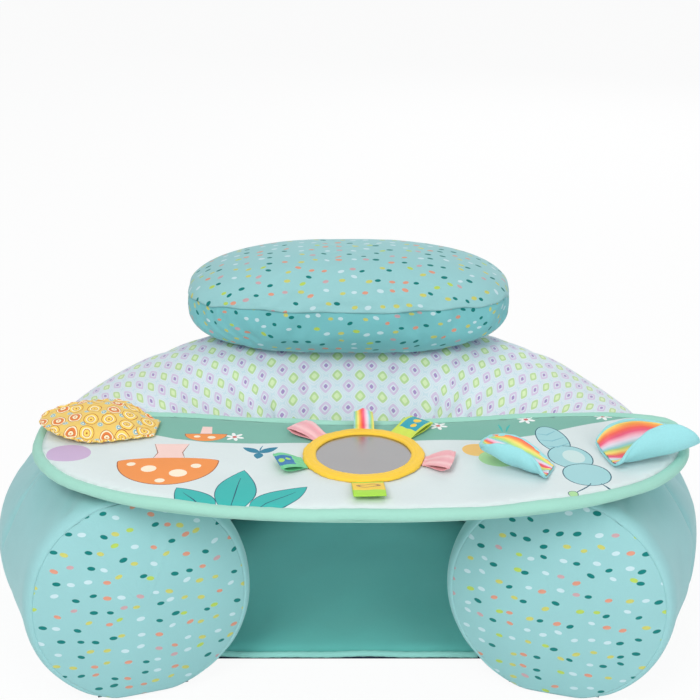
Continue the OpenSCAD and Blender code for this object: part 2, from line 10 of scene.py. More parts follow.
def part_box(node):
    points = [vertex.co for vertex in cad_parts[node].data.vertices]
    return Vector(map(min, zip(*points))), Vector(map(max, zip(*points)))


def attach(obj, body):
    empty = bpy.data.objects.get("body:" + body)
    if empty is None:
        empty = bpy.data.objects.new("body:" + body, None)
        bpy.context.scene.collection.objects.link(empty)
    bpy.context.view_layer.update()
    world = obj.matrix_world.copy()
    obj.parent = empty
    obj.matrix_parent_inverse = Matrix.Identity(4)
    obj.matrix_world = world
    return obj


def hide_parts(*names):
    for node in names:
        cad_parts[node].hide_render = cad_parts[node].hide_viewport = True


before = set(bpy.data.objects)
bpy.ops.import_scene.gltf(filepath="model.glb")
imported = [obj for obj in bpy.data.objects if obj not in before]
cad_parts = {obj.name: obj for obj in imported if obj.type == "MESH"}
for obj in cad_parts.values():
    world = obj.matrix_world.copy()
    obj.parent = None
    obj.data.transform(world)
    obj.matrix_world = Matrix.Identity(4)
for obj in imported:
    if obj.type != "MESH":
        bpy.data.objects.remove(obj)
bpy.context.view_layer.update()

# --- Sizes, in metres
# They repeat the driving dimensions of the part's source. Distances called d run forward
# from the middle of the well, and headings called phi from the middle of the back.
RING_W, TUBE_W, ARM_END_W = 0.620, 0.190, 0.183
BACK_H, SIDE_H, ARM_H = 0.181, 0.160, 0.187
ARC_DEG, ARM_LEN, CAP_BULGE = 108, 0.118, 0.014
FLOOR_R, FLOOR_FRONT, FLOOR_H = 0.165, 0.120, 0.008
BASE_T, SINK, BASE_HALF = 0.002, 0.004, 0.038
BOLSTER_W, BOLSTER_D, BOLSTER_CROWN = 0.320, 0.150, 0.047
BOLSTER_MID_Z, BOLSTER_BACK, BOLSTER_DROP = 0.224, 0.196, 0.052
TRAY_W, TRAY_FRONT, TRAY_REAR, TRAY_SHIFT = 0.540, 0.234, 0.073, 0.010
TRAY_WAIST, TRAY_DIP, TRAY_DIP_HALF = 0.100, 0.026, 0.220
BINDING_R = 0.00475
MIRROR_X, MIRROR_D, MIRROR_R, FRAME_R = 0.012, 0.142, 0.039, 0.0485
WING_FLAT, LEAF_LEN, LEAF_HALF, LEAF_LIFT = 0.005, 0.097, 0.030, 0.013

CENTRE_R = (RING_W - TUBE_W) / 2
ARC_LEN = CENTRE_R * math.radians(ARC_DEG)
PATH_LEN = ARC_LEN + ARM_LEN
SIDE_LEN = CENTRE_R * math.pi / 2
SEAM_FRONT, SEAM_STEP, INNER_SEAM, SIDE_SEAM = ARC_LEN + 0.014, 0.038, 222, 58
BACK_SEAT_Z, ARM_SEAT_Z = BACK_H - 0.003, ARM_H - 0.0014
TUBE_R = 0.093                       # the tube's mean radius, for lengths round it
ARM_TURN = math.radians(ARC_DEG - 90)
ARM_AHEAD = np.array([-math.sin(ARM_TURN), -math.cos(ARM_TURN)])
ARM_ACROSS = np.array([math.cos(ARM_TURN), -math.sin(ARM_TURN)])
COVER_T = 0.0015                     # the covers' cloth
STRIP_R, STRIP_T, STRIP_GAP = 0.212, 0.0012, 0.0003   # touch fasteners: the back's arc, and all
WELL_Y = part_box("floor_cover")[1].y - FLOOR_R
TRAY_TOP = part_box("tray_top_fabric")[1].z
TRAY_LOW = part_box("tray_bottom_fabric")[0].z
ZIP_LOW, ZIP_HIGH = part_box("zip_tape")

scene = bpy.context.scene


# --- Small sums
def smooth(x):
    c = np.clip(x, 0, 1)
    return c * c * (3 - 2 * c)


def mix(a, b, f):
    return a + (b - a) * f


def bell(x, width):
    return np.exp(-((x / width) ** 2))


def signed_power(x, power):
    return np.sign(x) * np.abs(x) ** power


def waves(seed, points, size):
    """Smooth noise of about -1 to 1: plane waves of about the given size, in metres."""
    count = 9
    rng = np.random.default_rng(seed)
    points = np.asarray(points, float)
    total = np.zeros(points.shape[:-1])
    for _ in range(count):
        direction = rng.normal(size=points.shape[-1])
        direction /= np.linalg.norm(direction)
        stretch = rng.uniform(0.6, 1.5)
        start = rng.uniform(0, 2 * math.pi)
        total += np.sin(points @ direction * 2 * math.pi / (size * stretch) + start)
    return total / math.sqrt(count / 2) / 1.6


def circle(count):
    """Even angles once round."""
    return np.arange(count) * 2 * math.pi / count


def shares(length, step, first=True):
    """Shares from 0 to 1 along a length, in even steps, with a short step at a seam."""
    edge = 0.0024
    low, high = edge if first else 0.0, length - edge
    even = np.linspace(low, high, max(2, round((high - low) / step)))
    return np.concatenate([[0.0]] * first + [even, [length]]) / length


# --- Meshes
def grid_faces(rows, cols, wrap_rows=False, wrap_cols=False):
    """Quads of a grid of points, row after row, and the grid corners of each quad."""
    faces, corners = [], []
    for i in range(rows if wrap_rows else rows - 1):
        for j in range(cols if wrap_cols else cols - 1):
            quad = [(i, j), (i, j + 1), (i + 1, j + 1), (i + 1, j)]
            corners.append(quad)
            faces.append([(a % rows) * cols + (b % cols) for a, b in quad])
    return faces, corners


def at_corners(uv, corners):
    """The cloth coordinates of each face's corners."""
    return [[uv[a, b] for a, b in quad] for quad in corners]


def plan_uvs(points, faces):
    """Cloth coordinates of faces that lie flat: those of the plan."""
    return [[(points[v][0], points[v][1]) for v in f] for f in faces]


def backwards(faces):
    """The same faces, or corner lists, the other way round."""
    return [f[::-1] for f in faces]


def new_piece(name, body, verts, faces, finish, slot, replaces=(), uvs=None, thick=0.0,
              levels=1, inks=None):
    """A mesh piece with its materials, that rides on a body. uvs holds one corner list per face."""
    mesh = bpy.data.meshes.new(name)
    mesh.from_pydata([tuple(map(float, v)) for v in verts], [], [list(map(int, f)) for f in faces])
    for material in finish if isinstance(finish, list) else [finish]:
        mesh.materials.append(material)
    if inks is not None:
        mesh.polygons.foreach_set("material_index", np.asarray(inks, np.int32))
    if uvs is not None:
        layer = mesh.uv_layers.new(name="cloth")
        layer.data.foreach_set("uv", np.asarray([c for f in uvs for c in f], np.float32).ravel())
    mesh.shade_smooth()
    mesh.validate()
    piece = bpy.data.objects.new(name, mesh)
    scene.collection.objects.link(piece)
    if levels:
        rounding = piece.modifiers.new("rounding", "SUBSURF")
        rounding.levels = rounding.render_levels = levels
        rounding.boundary_smooth = "PRESERVE_CORNERS"
    if thick:
        cloth = piece.modifiers.new("cloth_thickness", "SOLIDIFY")
        cloth.thickness = thick
        cloth.offset = -1
    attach(piece, body)
    if replaces:
        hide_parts(*replaces)
    return piece


def grid_piece(name, body, points, finish, slot, uv=None, wrap_rows=False, wrap_cols=False,
               flip=False, **more):
    """A piece from a grid of points. uv is a grid with one more row or column where it wraps."""
    points = np.asarray(points, float)
    rows, cols = points.shape[:2]
    faces, corners = grid_faces(rows, cols, wrap_rows, wrap_cols)
    uvs = None if uv is None else at_corners(uv, corners)
    if flip:
        faces, uvs = backwards(faces), uvs and backwards(uvs)
    return new_piece(name, body, points.reshape(-1, 3), faces, finish, slot, uvs=uvs, **more)


def tube_piece(name, body, path, radius, sides, finish, slot, closed=False, **more):
    """A round tube along a path. radius is one number, or one for each point and side."""
    path = np.asarray(path, float)
    ahead = np.roll(path, -1, 0) - np.roll(path, 1, 0)
    if not closed:
        ahead[0], ahead[-1] = path[1] - path[0], path[-1] - path[-2]
    ahead /= np.linalg.norm(ahead, axis=1)[:, None]
    side = np.cross(ahead, (0.0, 0.0, 1.0))
    side /= np.linalg.norm(side, axis=1)[:, None]
    over = np.cross(side, ahead)
    angle = circle(sides)[None, :, None]
    rows = len(path)
    radius = np.broadcast_to(np.asarray(radius, float), (rows, sides))
    ring = side[:, None] * np.cos(angle) + over[:, None] * np.sin(angle)
    points = path[:, None] + ring * radius[..., None]
    faces, corners = grid_faces(rows, sides, wrap_rows=closed, wrap_cols=True)
    along = np.concatenate([[0], np.cumsum(np.linalg.norm(np.diff(path, axis=0), axis=1))])
    if closed:
        along = np.append(along, along[-1] + np.linalg.norm(path[0] - path[-1]))
    round_it = np.arange(sides + 1) * 2 * math.pi * float(radius.mean()) / sides
    uvs = [[(along[a], round_it[b]) for a, b in quad] for quad in corners]
    verts = points.reshape(-1, 3)
    if not closed:
        verts = np.concatenate([verts, path[:1], path[-1:]])
        n = rows * sides
        for j in range(sides):
            k = (j + 1) % sides
            faces += [[n, k, j], [n + 1, n - sides + j, n - sides + k]]
            uvs += [[(0, 0)] * 3] * 2
    return new_piece(name, body, verts, backwards(faces), finish, slot, uvs=backwards(uvs), **more)


def inflate(verts, faces, pinned, pressure, swell, reach, stiff=15.0):
    """The points of a skin after it is blown up with the cloth simulation. pinned is how
    firmly each point is held, swell how much longer each stretch of cloth may grow, and
    reach the most that a point may move."""
    frames = 18
    start = np.asarray(verts, float)
    volume = sum(np.dot(start[f[0]], np.cross(start[f[i]], start[f[i + 1]]))
                 for f in faces for i in range(1, len(f) - 1))
    way = 1 if volume > 0 else -1
    mesh = bpy.data.meshes.new("skin")
    mesh.from_pydata([tuple(v) for v in start], [], [list(map(int, f))[::way] for f in faces])
    skin_object = bpy.data.objects.new("skin", mesh)
    scene.collection.objects.link(skin_object)
    most = float(swell.max())
    for title, weights in (("pin", pinned), ("swell", 1 - swell / most)):
        group = skin_object.vertex_groups.new(name=title)
        rounded = np.round(weights, 2)
        for weight in np.unique(rounded):
            group.add(np.nonzero(rounded == weight)[0].tolist(), float(weight), "REPLACE")
    cloth = skin_object.modifiers.new("cloth", "CLOTH")
    settings = cloth.settings
    settings.quality = 6
    settings.mass = 0.3
    settings.tension_stiffness = settings.compression_stiffness = stiff
    settings.shear_stiffness = stiff / 2
    settings.bending_stiffness = 0.4
    settings.air_damping = 2
    settings.use_pressure = True
    settings.uniform_pressure_force = pressure
    settings.vertex_group_mass = "pin"
    settings.shrink_max = 0.0
    settings.shrink_min = -most
    settings.vertex_group_shrink = "swell"
    settings.effector_weights.gravity = 0
    for number in range(1, frames + 1):
        scene.frame_set(number)
    depsgraph = bpy.context.evaluated_depsgraph_get()
    done = skin_object.evaluated_get(depsgraph).data
    out = np.zeros(len(start) * 3)
    done.vertices.foreach_get("co", out)
    bpy.data.objects.remove(skin_object)
    scene.frame_set(1)
    move = out.reshape(-1, 3) - start
    length = np.linalg.norm(move, axis=1)[:, None]
    return start + move * np.minimum(1, reach / np.maximum(length, 1e-9))


def grid_normals(points, wrap_rows=False):
    """Unit normals of a grid of points: the way across the columns times the way along the rows."""
    if wrap_rows:
        down = np.roll(points, -1, 0) - np.roll(points, 1, 0)
    else:
        down = np.gradient(points, axis=0)
    across = np.gradient(points, axis=1)
    normal = np.cross(across, down)
    return normal / np.maximum(np.linalg.norm(normal, axis=2), 1e-12)[..., None]


def facing(normal, way):
    """The normals, all turned round if most of them face away from the given way."""
    return normal if (normal * way).sum() >= 0 else -normal


def along_lines(points, lines, width):
    """How near each point lies to any of the drawn lines, from 0 to 1, fading at their ends."""
    near = np.zeros(points.shape[:-1])
    for line in lines:
        line = np.asarray(line, float)
        at = np.linspace(0, len(line) - 1, 40)
        walk = np.stack([np.interp(at, np.arange(len(line)), line[:, i]) for i in range(3)], -1)
        fade = np.sin(math.pi * np.linspace(0.06, 0.97, 40)) ** 0.7
        for place, strength in zip(walk, fade):
            gap = np.linalg.norm(points - place, axis=-1)
            near = np.maximum(near, strength * bell(gap, width))
    return near


# --- Materials
def srgb(red, green, blue):
    """A colour given from 0 to 255, as Blender's linear colour."""
    shares_of_255 = (c / 255 for c in (red, green, blue))
    return (*(c / 12.92 if c <= 0.0404 else ((c + 0.055) / 1.055) ** 2.4 for c in shares_of_255), 1.0)


class Value:
    """A socket of a node tree. Sums and comparisons with it add math nodes to the tree."""

    def __init__(self, nodes, socket):
        self.nodes, self.socket = nodes, socket

    def sum_of(operation, swapped=False):
        def add_node(self, other):
            return self.nodes.math(operation, *((other, self) if swapped else (self, other)))
        return add_node

    __add__, __sub__, __mul__, __truediv__, __pow__, __gt__, __lt__ = map(
        sum_of, ("ADD", "SUBTRACT", "MULTIPLY", "DIVIDE", "POWER", "GREATER_THAN", "LESS_THAN"))
    __rsub__ = sum_of("SUBTRACT", True)

    def __abs__(self):
        return self.nodes.math("ABSOLUTE", self)


class Nodes:
    """A node tree, with short ways to add nodes."""

    def __init__(self, tree):
        self.tree = tree

    def feed(self, socket, value):
        """Gives a socket a plain value, or links it to another."""
        value = value.socket if isinstance(value, Value) else value
        if isinstance(value, bpy.types.NodeSocket):
            self.tree.links.new(value, socket)
        else:
            socket.default_value = value

    def node(self, kind, feeds=None, **settings):
        node = self.tree.nodes.new("ShaderNode" + kind)
        for key, value in settings.items():
            setattr(node, key, value)
        for key, value in (feeds or {}).items():
            self.feed(node.inputs[key], value)
        return node

    def add(self, kind, feeds=None, out=0, **settings):
        return Value(self, self.node(kind, feeds, **settings).outputs[out])

    def math(self, operation, *values, clamp=False):
        return self.add("Math", dict(enumerate(values)), operation=operation, use_clamp=clamp)

    def split(self, vector, kind="XYZ"):
        """The three parts of a vector, or of a colour."""
        return [Value(self, part) for part in self.node("Separate" + kind, {0: vector}).outputs]

    def blend(self, share, a, b, kind="MIX"):
        return self.add("Mix", {0: share, 6: a, 7: b}, 2, data_type="RGBA", blend_type=kind)

    def ramp(self, share, stops, constant=False):
        node = self.node("ValToRGB", {0: share})
        node.color_ramp.interpolation = "CONSTANT" if constant else "LINEAR"
        elements = node.color_ramp.elements
        while len(elements) > 1:
            elements.remove(elements[-1])
        elements[0].position, elements[0].color = stops[0]
        for position, colour in stops[1:]:
            elements.new(position).color = colour
        return Value(self, node.outputs[0])

    def cloth_uv(self):
        return self.add("UVMap", uv_map="cloth")

    def place(self):
        return self.add("TexCoord", out=3)

    def noise(self, vector, scale, detail=2.0, roughness=0.5):
        return self.add("TexNoise", {"Vector": vector, "Scale": scale, "Detail": detail,
                                     "Roughness": roughness})

    def cells(self, uv, pitch, randomness):
        """Flat cells a pitch apart: the distance to a cell's middle, its colour and its middle."""
        node = self.node("TexVoronoi", {"Vector": uv, "Scale": 1 / pitch, "Randomness": randomness},
                         voronoi_dimensions="2D")
        return [Value(self, node.outputs[name]) for name in ("Distance", "Color", "Position")]

    def threads(self, vector, scale, direction, **settings):
        """Height of a set of fine threads."""
        return self.add("TexWave", {"Vector": vector, "Scale": scale, **settings}, 1,
                        bands_direction=direction)


class Finish(Nodes):
    """A material and its node tree."""

    def __init__(self, name):
        self.material = bpy.data.materials.new(name)
        self.material.use_nodes = True
        super().__init__(self.material.node_tree)
        self.shader = self.tree.nodes["Principled BSDF"]

    def set(self, **values):
        names = {"rough": "Roughness", "metal": "Metallic", "sheen": "Sheen Weight",
                 "sheen_rough": "Sheen Roughness", "specular": "Specular IOR Level",
                 "colour": "Base Color"}
        for key, value in values.items():
            self.feed(self.shader.inputs[names[key]], value)
        return self

    def bump(self, *layers):
        """Each layer is (height, strength, distance)."""
        normal = None
        for height, strength, distance in layers:
            feeds = {"Strength": strength, "Distance": distance, "Height": height}
            if normal is not None:
                feeds["Normal"] = normal
            normal = self.add("Bump", feeds)
        self.feed(self.shader.inputs["Normal"], normal)
        return self


def mottled(finish, colour, amount, size=0.05):
    """A colour a little lighter and darker in soft patches, with a fine fleck."""
    place = finish.place()
    patches = finish.noise(place, 1 / size, 3.0, 0.6)
    fleck = finish.noise(place, 650, 1.0)
    shade = patches * (amount * 2) + fleck * amount + (1 - amount * 1.5)
    grey = finish.add("CombineColor", {0: shade, 1: shade, 2: shade})
    return finish.blend(1.0, colour, grey, "MULTIPLY")


def knit(finish, vector, pitch):
    """Height of a fine knit: two crossed sets of threads, pitch apart."""
    rows, cols = (finish.threads(vector, 0.5 / pitch, direction, Distortion=1.2, Detail=1.0,
                                 **{"Detail Scale": 2.0}) for direction in "XY")
    return rows + cols


def brushed(name, colour, amount=0.05):
    """Soft brushed polyester with a short nap. colour is a colour, or a function that makes it
    from the material's nodes."""
    finish = Finish(name)
    base = colour(finish) if callable(colour) else colour
    place = finish.place()
    finish.set(colour=mottled(finish, base, amount), rough=0.88, sheen=0.22, sheen_rough=0.45,
               specular=0.25)
    nap = finish.noise(place, 900, 2.0, 0.6)
    soft = finish.noise(place, 55, 2.0, 0.5)
    finish.bump((nap, 0.25, 0.0006), (soft, 0.10, 0.0030))
    return finish.material


def printed(name, colour):
    """Ink on the tray's smooth woven polyester."""
    finish = Finish(name)
    finish.set(colour=mottled(finish, colour, 0.04, 0.03), rough=0.72, sheen=0.08, specular=0.35)
    finish.bump((knit(finish, finish.cloth_uv(), 0.0006), 0.15, 0.0003),
                (finish.noise(finish.place(), 40, 2.0), 0.08, 0.003))
    return finish.material


def striped(name, stops, period, rough=0.42):
    """Satin ribbon with stripes across it; stops are (share, colour)."""
    finish = Finish(name)
    uv = finish.cloth_uv()
    colour = finish.ramp(finish.math("FRACT", finish.split(uv)[1] / period), stops)
    finish.set(colour=mottled(finish, colour, 0.04, 0.01), rough=rough, sheen=0.15, specular=0.5)
    finish.bump((finish.threads(uv, 600.0, "X", Distortion=0.6), 0.2, 0.0002),
                (finish.noise(finish.place(), 120, 2.0), 0.25, 0.001))
    return finish.material


def diamond_colours(finish):
    """Rows of nested diamonds, lavender and green by turns, on a pale blue-lavender ground."""
    pitch, rise, roundness = 0.0225, 0.0215, 1.3
    uv = finish.cloth_uv()
    across, upward, _ = finish.split(uv)
    sway = (finish.noise(uv, 30, 1.0) - 0.5) * 0.0022
    near, far = [], []
    for value, period, stretch in ((across + sway, pitch, 1.08), (upward, rise, 0.94)):
        off = abs(finish.math("FRACT", value / period + 100.5) - 0.5)
        near.append((off * stretch) ** roundness)
        far.append(((0.5 - off) * stretch) ** roundness)
    near, far = ((a + b) ** (1 / roundness) for a, b in (near, far))
    lilac, purple = srgb(220, 204, 230), srgb(176, 150, 202)
    green, lime = srgb(196, 224, 160), srgb(224, 242, 194)
    ground, pale = srgb(212, 230, 238), srgb(230, 238, 244)
    violet = finish.ramp(near, [
        (0.00, purple), (0.09, purple), (0.12, pale), (0.15, pale), (0.18, lilac), (0.28, lilac),
        (0.30, pale), (0.33, pale), (0.35, ground), (0.41, pale), (0.45, ground)])
    leafy = finish.ramp(far, [
        (0.00, lime), (0.12, lime), (0.15, green), (0.24, green), (0.26, pale), (0.31, pale),
        (0.33, ground), (0.41, pale), (0.45, ground)])
    return finish.blend(near > far, violet, leafy)


def confetti_colours(ground):
    """Small ovals of six colours, strewn over the ground."""
    def colours(finish):
        pitch, half_long, half_wide = 0.0130, 0.0031, 0.0017
        uv = finish.cloth_uv()
        _, cell_colour, middle = finish.cells(uv, pitch, 0.62)
        chance, turn_chance, size_chance = finish.split(cell_colour, "Color")
        apart = finish.add("VectorMath", {0: uv, 1: middle}, operation="SUBTRACT")
        turned_apart = finish.add("VectorRotate", {"Vector": apart, "Angle": (turn_chance - 0.5) * 0.8},
                                  rotation_type="Z_AXIS")
        along, across, _ = finish.split(turned_apart)
        grow = size_chance * 0.25 + 0.85
        off = (abs(along) / (grow * half_long)) ** 2.0 + (abs(across) / (grow * half_wide)) ** 2.0
        inside = finish.math("MULTIPLY", 1.12 - off, 4.0, clamp=True)
        dots = finish.ramp(chance, [
            (0.00, srgb(10, 124, 120)), (0.29, srgb(226, 154, 130)), (0.44, srgb(206, 166, 170)),
            (0.50, srgb(204, 228, 234)), (0.72, srgb(206, 206, 112)), (0.92, srgb(186, 212, 96))],
            constant=True)
        return finish.blend(inside, ground, dots)
    return colours


def ringed_colours(finish):
    """Ringed discs of yellow and orange in near rows, small blue dots between, on old gold."""
    pitch, dot = 0.0146, 0.165
    uv = finish.cloth_uv()
    distance, cell_colour, _ = finish.cells(uv, pitch, 0.30)
    chance = finish.split(cell_colour, "Color")[0]
    orange, yellow, gold = srgb(232, 132, 70), srgb(250, 214, 104), srgb(240, 204, 112)
    cream, blue, brown = srgb(252, 238, 200), srgb(128, 184, 200), srgb(188, 104, 48)
    warm = finish.ramp(distance, [
        (0.0, orange), (0.05, cream), (0.15, brown), (0.18, orange), (0.30, cream), (0.37, brown),
        (0.40, gold)], constant=True)
    cool = finish.ramp(distance, [
        (0.0, brown), (0.05, yellow), (0.17, brown), (0.20, cream), (0.27, yellow), (0.38, brown),
        (0.42, gold)], constant=True)
    discs = finish.blend(chance > 0.45, warm, cool)
    half_step = finish.add("VectorMath", {0: uv, 1: (pitch / 2, pitch / 2, 0)}, operation="ADD")
    gap = finish.cells(half_step, pitch, 0.10)[0]
    dots = finish.ramp(gap, [(0.0, cream), (0.05, blue), (0.12, cream), (0.145, blue), (dot, gold)],
                       constant=True)
    return finish.blend((distance > 0.43) * (gap < dot), discs, dots)


diamonds = brushed("brushed_diamonds", diamond_colours, 0.03)
aqua_cloth = brushed("brushed_aqua", srgb(156, 207, 209))
confetti = brushed("brushed_confetti", confetti_colours(srgb(155, 206, 208)), 0.03)
# The same confetti cloth with a darker ground: painted shade for the bolster's downward-facing belly.
confetti_painted_shade = brushed("brushed_confetti_low", confetti_colours(srgb(128, 199, 203)), 0.03)
teal_cloth = brushed("brushed_teal", srgb(103, 187, 181))
piping_cloth = brushed("brushed_piping", srgb(150, 214, 206))
mint_cloth = brushed("stretch_mint", srgb(163, 216, 199), 0.04)
plush_cloth = brushed("short_plush", srgb(158, 222, 226), 0.08)
ringed_cloth = brushed("cotton_rings", ringed_colours, 0.02)


def dark_base():
    finish = Finish("dark_grip_cloth")
    place = finish.place()
    studs = finish.add("TexVoronoi", {"Vector": place, "Scale": 330.0, "Randomness": 0.1}) < 0.33
    finish.set(colour=mottled(finish, srgb(38, 52, 74), 0.1), rough=0.75, specular=0.3)
    return finish.bump((studs, 0.5, 0.0006), (finish.noise(place, 700), 0.2, 0.0003)).material


def yellow_woven():
    finish = Finish("yellow_woven")
    place = finish.place()
    finish.set(colour=mottled(finish, srgb(252, 206, 58), 0.05, 0.02), rough=0.6, sheen=0.12,
               specular=0.4)
    return finish.bump((knit(finish, place, 0.0007), 0.2, 0.0003),
                       (finish.noise(place, 90), 0.15, 0.002)).material


def plain(name, colour, mottle, bump, **settings):
    """A finish of one mottled colour. bump is the noise's scale and detail, strength and depth."""
    finish = Finish(name)
    finish.set(colour=mottled(finish, srgb(*colour), *mottle), **settings)
    scale, detail, strength, depth = bump
    return finish.bump((finish.noise(finish.place(), scale, detail), strength, depth)).material


def tape(name, colour, sheen, pitch_scale, randomness):
    finish = Finish(name)
    finish.set(colour=mottled(finish, srgb(*colour), 0.08, 0.01), rough=0.7, sheen=sheen)
    cells = finish.add("TexVoronoi", {"Vector": finish.place(), "Scale": pitch_scale,
                                      "Randomness": randomness})
    return finish.bump((cells, 0.8, 0.0006)).material


base_cloth = dark_base()
yellow_cloth = yellow_woven()
film = plain("soft_mirror", (170, 169, 170), (0.03, 0.04), (22, 1.0, 0.10, 0.003), metal=1.0, rough=0.26)
hook_tape = tape("hook_tape", (214, 220, 220), 0.0, 900.0, 0.2)
loop_tape = tape("loop_tape", (222, 228, 228), 0.4, 500.0, 1.0)
metal = plain("satin_zip_metal", (196, 198, 200), (0.06, 0.004), (1500, 2.0, 0.1, 0.0001), metal=1.0,
              rough=0.32)
zip_cloth = brushed("zip_tape_cloth", srgb(120, 190, 192))
stiff_board = plain("stiff_board", (226, 226, 222), (0.05,), (300, 2.0, 0.2, 0.0003), rough=0.6)

rainbow_satin = striped("rainbow_satin", [
    (0.00, srgb(235, 90, 130)), (0.12, srgb(240, 95, 80)), (0.24, srgb(250, 160, 80)),
    (0.36, srgb(250, 228, 120)), (0.50, srgb(178, 220, 120)), (0.62, srgb(140, 210, 215)),
    (0.76, srgb(230, 225, 240)), (0.88, srgb(250, 190, 210)), (1.00, srgb(235, 90, 130))], 0.0260)
pink_satin = striped("pink_satin", [
    (0.0, srgb(244, 176, 182)), (0.3, srgb(250, 200, 202)), (0.6, srgb(240, 164, 172)),
    (1.0, srgb(244, 176, 182))], 0.013, rough=0.38)


# --- The ring's skin
def end_tuck(t):
    """How much narrower and lower the tube is where it turns in at its end seam."""
    return 0.003 * np.maximum(0, 1 - (PATH_LEN - t) / 0.016) ** 2


def tube_half(t):
    arm_share = smooth((t - SIDE_LEN) / (PATH_LEN - SIDE_LEN))
    return mix(TUBE_W, ARM_END_W, arm_share) / 2 - end_tuck(t)


def tube_top(t):
    flat = SIDE_LEN * 0.22
    back = mix(BACK_H, SIDE_H, smooth((t - flat) / (SIDE_LEN - flat)))
    arm = mix(SIDE_H, ARM_H, smooth((t - SIDE_LEN) / (ARC_LEN + 0.030 - SIDE_LEN)))
    return np.where(t < SIDE_LEN, back, arm) - end_tuck(t)


def seat_z(t):
    """How high the ring's flattened top lies, under the bolster or the tray."""
    return np.where(t < SIDE_LEN, BACK_SEAT_Z, ARM_SEAT_Z)


def path_point(t):
    """Centreline point t along it from the middle of the back, and the way out from it."""
    over = np.maximum(0, t - ARC_LEN)
    phi = np.minimum(t, ARC_LEN) / CENTRE_R
    out_x, out_y = np.sin(phi), np.cos(phi)
    return CENTRE_R * out_x + over * ARM_AHEAD[0], CENTRE_R * out_y + over * ARM_AHEAD[1], out_x, out_y


def skin(t, u, d):
    """Point of the tube's skin, u degrees round it from its outer side over the top, d deep.
    At its sides it sags, so its lower outer quarter is fuller than round there."""
    t, u = np.broadcast_arrays(np.asarray(t, float), np.asarray(u, float))
    x, y, out_x, out_y = path_point(t)
    half, high = tube_half(t), (tube_top(t) - BASE_T + SINK) / 2
    sin, cos = np.sin(np.radians(u)), np.cos(np.radians(u))
    sag = smooth((t / SIDE_LEN - 0.45) / 0.5) * (1 - smooth((t - ARC_LEN) / ARM_LEN))
    full = np.where((cos > 0) & (sin < 0), 2 + 0.45 * sag, 2.0)
    z = BASE_T - SINK + high + (high - d) * signed_power(sin, 2 / full)
    r = (half - d) * signed_power(cos, 2 / full)
    return np.stack([x + out_x * r, y + out_y * r + WELL_Y, np.clip(z, BASE_T + d, seat_z(t) - d)], -1)


def outer_seam(f):
    """Angle of the printed cover's outer seam, at share f of its length from the back."""
    return mix(-5, SIDE_SEAM, smooth((f - 0.39) / 0.42))


def sleeve_seam(u):
    """How far along the tube the sleeve starts, u degrees round it: further back inside."""
    back = np.where(u < INNER_SEAM, smooth((u - 90) / 90), smooth((355 - u) / (355 - INNER_SEAM)))
    return SEAM_FRONT - SEAM_STEP * back


KNOTS = ((-1, 38), (1, 44))          # side and heading of the middle of each fan of gathers
FAN = (-6.5, -3.4, 0.0, 3.2, 6.8)    # headings of a fan's gathers, from its knot
BETWEEN = (15, 20, 25.5, 54, 59, 64, 70, 76, 82, 89, 96)   # headings of the lesser gathers


def pleats(phi, rise):
    """Depth of the gathers that run up the well's wall and over the top from its inner
    seam. phi is in degrees, and rise the way up from the seam."""
    rng = np.random.default_rng(11)
    depth = np.zeros(np.broadcast(phi, rise).shape)
    headings = [side * h for side, knot in KNOTS for h in [knot + f for f in FAN] + list(BETWEEN)]
    for heading in headings:
        in_fan = min(abs(abs(heading) - knot) for _, knot in KNOTS) < 8
        strong = 1.0 if in_fan else rng.uniform(0.35, 0.75)
        reach = rng.uniform(0.14, 0.18) if in_fan else rng.uniform(0.06, 0.15)
        lean = rng.uniform(-4, 4)
        width = rng.uniform(0.9, 1.3)
        share = rise / reach
        centre = heading + rng.uniform(-1.2, 1.2) + lean * share
        fade = smooth(1.15 - share) * (0.45 + 0.55 * smooth(share * 4))
        spread = width * (1 + 1.6 * np.clip(share, 0, 1))
        offset = phi - centre
        swell = bell(offset - 1.9 * spread, spread * 1.1) + bell(offset + 1.9 * spread, spread * 1.1)
        depth += strong * fade * (0.0026 * bell(offset, spread) - 0.0009 * swell)
    return depth


OVER_LEN = math.radians(INNER_SEAM) * TUBE_R
UNDER_LEN = math.radians(360 - INNER_SEAM) * TUBE_R
over_shares = shares(OVER_LEN, 0.0058)
under_shares = shares(UNDER_LEN, 0.0068)
cover_shares = shares(SEAM_FRONT, 0.0058, first=False)
sleeve_shares = shares(PATH_LEN - SEAM_FRONT, 0.0062)
N_OVER = len(over_shares) - 1
N_COVER = len(cover_shares) - 1
N_SLEEVE = len(sleeve_shares) - 1
COVER_FIRST, COVER_LAST = N_SLEEVE, 2 * N_COVER + N_SLEEVE      # the cover's end columns


def row_angles(start):
    """Angles of the rows round the tube, from the outer seam over the top and back to it."""
    over = mix(start, INNER_SEAM, over_shares)
    under = mix(INNER_SEAM, 360 + start, under_shares[1:])
    return np.concatenate([over, under])


def ring_places():
    """t, side and u of every point of the ring's grid, with its first row repeated at the end."""
    half = []
    for f in cover_shares:
        u = row_angles(float(outer_seam(f)))
        half.append((f * sleeve_seam(u), u))
    for g in sleeve_shares[1:]:
        u = row_angles(float(SIDE_SEAM))
        half.append((mix(sleeve_seam(u), PATH_LEN, g), u))
    t, u = (np.stack([c[i] for c in half[:0:-1] + half], 1) for i in (0, 1))
    side = np.array([-1.0] * (len(half) - 1) + [1.0] * len(half)) * np.ones_like(t)
    return t, u, side


ring_t, ring_u, ring_side = ring_places()


